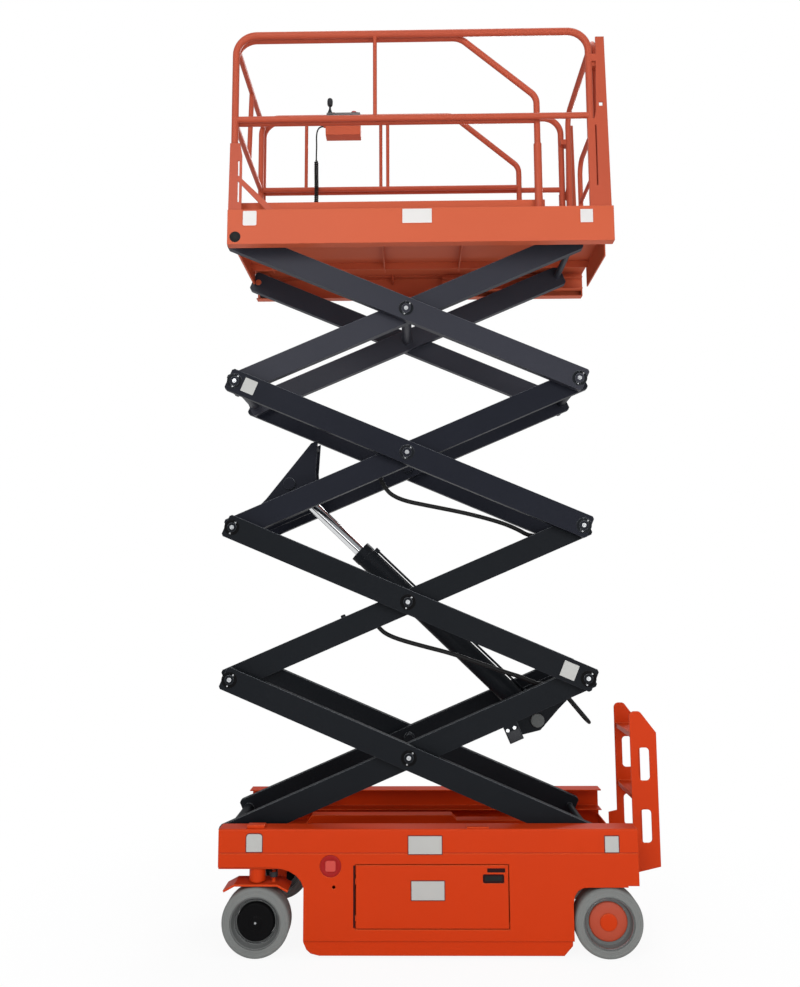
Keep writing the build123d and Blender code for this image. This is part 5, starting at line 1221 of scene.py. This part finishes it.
def tread_tree():
    """Raised lozenges on a grid, every other one turned."""
    tree, source, target = growing_tree("deck_tread", tread_sizes(1.0, 0.7, 0.04, 0.012))
    length, width, pitch = (source.outputs[label] for label in ("Length", "Width", "Pitch"))
    columns, rows = (
        math_node(tree, "ADD", math_node(tree, "FLOOR", math_node(tree, "DIVIDE", size, pitch)), 1.0)
        for size in (length, width)
    )
    grid = node_in(tree, "GeometryNodeMeshGrid", Size_X=length, Size_Y=width, Vertices_X=columns,
                   Vertices_Y=rows)
    drop = node_in(tree, "GeometryNodeMeshIcoSphere", Radius=1.0, Subdivisions=2)
    size = tree.nodes.new("ShaderNodeCombineXYZ")
    tree.links.new(source.outputs["Lozenge"], size.inputs[0])
    tree.links.new(math_node(tree, "MULTIPLY", source.outputs["Lozenge"], LOZENGE_SHARE), size.inputs[1])
    size.inputs[2].default_value = LOZENGE_HEIGHT
    flat = tree.nodes.new("GeometryNodeTransform")
    tree.links.new(drop.outputs["Mesh"], flat.inputs["Geometry"])
    tree.links.new(size.outputs[0], flat.inputs["Scale"])
    index = tree.nodes.new("GeometryNodeInputIndex").outputs[0]
    column = math_node(tree, "FLOOR", math_node(tree, "DIVIDE", index, rows))
    row = math_node(tree, "MODULO", index, rows)
    odd = math_node(tree, "MODULO", math_node(tree, "ADD", column, row), 2.0)
    angle = math_node(tree, "SUBTRACT", math_node(tree, "MULTIPLY", odd, math.pi / 2), math.pi / 4)
    spin = tree.nodes.new("ShaderNodeCombineXYZ")
    tree.links.new(angle, spin.inputs[2])
    turn = tree.nodes.new("FunctionNodeEulerToRotation")
    tree.links.new(spin.outputs[0], turn.inputs[0])
    placed = tree.nodes.new("GeometryNodeInstanceOnPoints")
    tree.links.new(grid.outputs["Mesh"], placed.inputs["Points"])
    tree.links.new(flat.outputs[0], placed.inputs["Instance"])
    tree.links.new(turn.outputs[0], placed.inputs["Rotation"])
    finish_tree(tree, source, target, placed.outputs[0])
    return tree


TREAD = tread_tree()
DECK_HALF = 0.36
STEP_X = (MID_X + 1.215, MID_X + 1.320)
STEP_HALF = 0.165
STEP_TOPS = (0.420, 0.781, 1.130)
TREADS = [
    # name, body, left and right, level, half the width, pitch, lozenge, finish
    ("tread_floor", "platform", (MID_X + 0.765, MID_X + 1.095), FLOOR_TOP, DECK_HALF, 0.042, 0.0135,
     "platform_paint"),
    ("tread_deck", "extension", (DECK_LEFT + 0.03, DECK_RIGHT - 0.03), DECK_TOP, DECK_HALF, 0.042, 0.0135,
     "platform_paint"),
] + [
    (f"tread_step_{number}", "chassis", STEP_X, top, STEP_HALF, 0.026, 0.0085, "chassis_paint")
    for number, top in enumerate(STEP_TOPS, 1)
]
for name, body, (left, right), level, half, pitch, lozenge, finish in TREADS:
    tread = grown(name, TREAD, bpy.data.meshes.new("empty_seed"),
                  tread_sizes(right - left, 2 * half, pitch, lozenge), body, finish)
    tread.data.transform(Matrix.Translation(((left + right) / 2, 0, level)))
    print(name, len(tread.data.polygons), "faces")

# %% [markdown]
# ## The platform controls
#
# The controls are a painted sheet-metal tray with a dark moulded shell on top. The shell's face leans
# back from the driver. It has a joystick with a ribbed rubber boot, a rocker switch, a row of round
# buttons, a red stop button and a plug at its end. A sculpted shell would be softer, but a prism with
# bevelled edges keeps to the outline of the plain solid that it replaces.

# %% Controls
BOX_Y = (0.300, 0.404)
PANEL_TOP = BOX_TOP + 0.078
SHELL = (MID_X - 0.657, MID_X - 0.420)
LEAN_BACK = 0.038              # of the driver's face, from its foot to its top
shell = bmesh.new()
outline = ((BOX_Y[0], BOX_TOP), (BOX_Y[1] - 0.008, BOX_TOP), (BOX_Y[1] - 0.008, PANEL_TOP),
           (BOX_Y[0] + LEAN_BACK, PANEL_TOP))
ends = [[shell.verts.new((x, y, z)) for y, z in outline] for x in SHELL]
join_rings(shell, ends)
shell.faces.new(ends[0])
shell.faces.new(ends[1])
bmesh.ops.bevel(shell, geom=shell.edges[:], offset=0.006, segments=3, profile=0.5, affect="EDGES")
shell_piece = finish_piece("control_shell", shell, "extension", "grey_shell")
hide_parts("control_panel")


def upright(x, y, z):
    """A place on a level face."""
    return Matrix.Translation((x, y, z))


stick_place = upright(SHELL[0] + 0.022, BOX_Y[0] + 0.066, PANEL_TOP)
BOOT = [(-0.001, 0.0), (-0.001, 0.021), (0.003, 0.021)]
for fold in range(5):
    BOOT += [(0.006 + 0.007 * fold, 0.019 - 0.0022 * fold), (0.0095 + 0.007 * fold, 0.0155 - 0.0019 * fold)]
BOOT += [(0.045, 0.0075), (0.062, 0.0075), (0.066, 0.016), (0.076, 0.0195), (0.098, 0.0200), (0.112, 0.0175),
         (0.119, 0.011), (0.121, 0.0)]
turned_piece("joystick", BOOT, stick_place, 32, "extension", "dark_plastic", 30, False)
PLUG_ROWS = (
    (-0.001, 0.0), (-0.001, 0.012), (0.004, 0.012), (0.005, 0.0095), (0.015, 0.0095), (0.0178, 0.007),
    (0.018, 0.0),
)
side_stub = face_place((SHELL[1], BOX_Y[0] + 0.050, PANEL_TOP - 0.030), (0, 1, 0), (0, 0, 1), (1, 0, 0))
turned_piece("side_plug", PLUG_ROWS, side_stub, 28, "extension", "dark_plastic", 35, False)
lean = math.atan2(LEAN_BACK, PANEL_TOP - BOX_TOP)
driver_face = face_place((0, BOX_Y[0], BOX_TOP), (1, 0, 0), (0, math.sin(lean), math.cos(lean)),
                         (0, -math.cos(lean), math.sin(lean)))
BUTTON_ROWS = (
    (-0.0005, 0.0), (-0.0005, 0.0105), (0.003, 0.0105), (0.0035, 0.0088), (0.0062, 0.0084),
    (0.0068, 0.007), (0.0068, 0.0),
)
BUTTON_COUNT = 4
BUTTON_STEP = 0.034
buttons = bmesh.new()
for number in range(BUTTON_COUNT):
    at = driver_face @ Matrix.Translation((SHELL[0] + 0.070 + BUTTON_STEP * number, 0.045, 0))
    add_turned(buttons, BUTTON_ROWS, at, 28)
add_plate(buttons, SHELL[0] + 0.016, SHELL[0] + 0.044, 0.026, 0.064, 0.005, 0.004, driver_face)
finish_piece("buttons", buttons, "extension", "dark_plastic")
STOP_ROWS = (
    (-0.0005, 0.0), (-0.0005, 0.013), (0.008, 0.013), (0.009, 0.0185), (0.013, 0.0195), (0.017, 0.0175),
    (0.0185, 0.010), (0.019, 0.0),
)
stop_place = upright(SHELL[1] - 0.045, BOX_Y[0] + 0.068, PANEL_TOP)
turned_piece("stop_button", STOP_ROWS, stop_place, 36, "extension", "button_red", 35, False)
print("controls done")

# %% [markdown]
# ## Rail bolts
#
# The guardrails are bolted to the platform's sides, two bolts at each corner. These are the same bolts
# as on the arms, grown from one list of points. At the entry end they stand on the rails' plates. At
# the steered end they lie within the corner posts, so only the entry end shows any.

# %% Bolts of the platform
RAIL_PLATE_IN = 0.014          # from the outside of the platform to the rail plates' inner faces
RAIL_BOLT_X = (MID_X - 1.112, MID_X + 1.062)
RAIL_BOLT_Z = (FLOOR_TOP + 0.040, FLOOR_TOP + 0.160)
rail_bolts = []
for _, way in SIDES:
    inner = way * (HALF_WIDTH - RAIL_PLATE_IN)
    for x in RAIL_BOLT_X:
        for z in RAIL_BOLT_Z:
            rail_bolts.append(((x, inner, z), (0, -way, 0)))
grown("rail_bolts", BOLTS, seed_points(rail_bolts), bolt_sizes(0.0085, 0.005, 0.012, 0.0015),
      "platform", "zinc_bolts")
print("rail bolts:", len(rail_bolts))
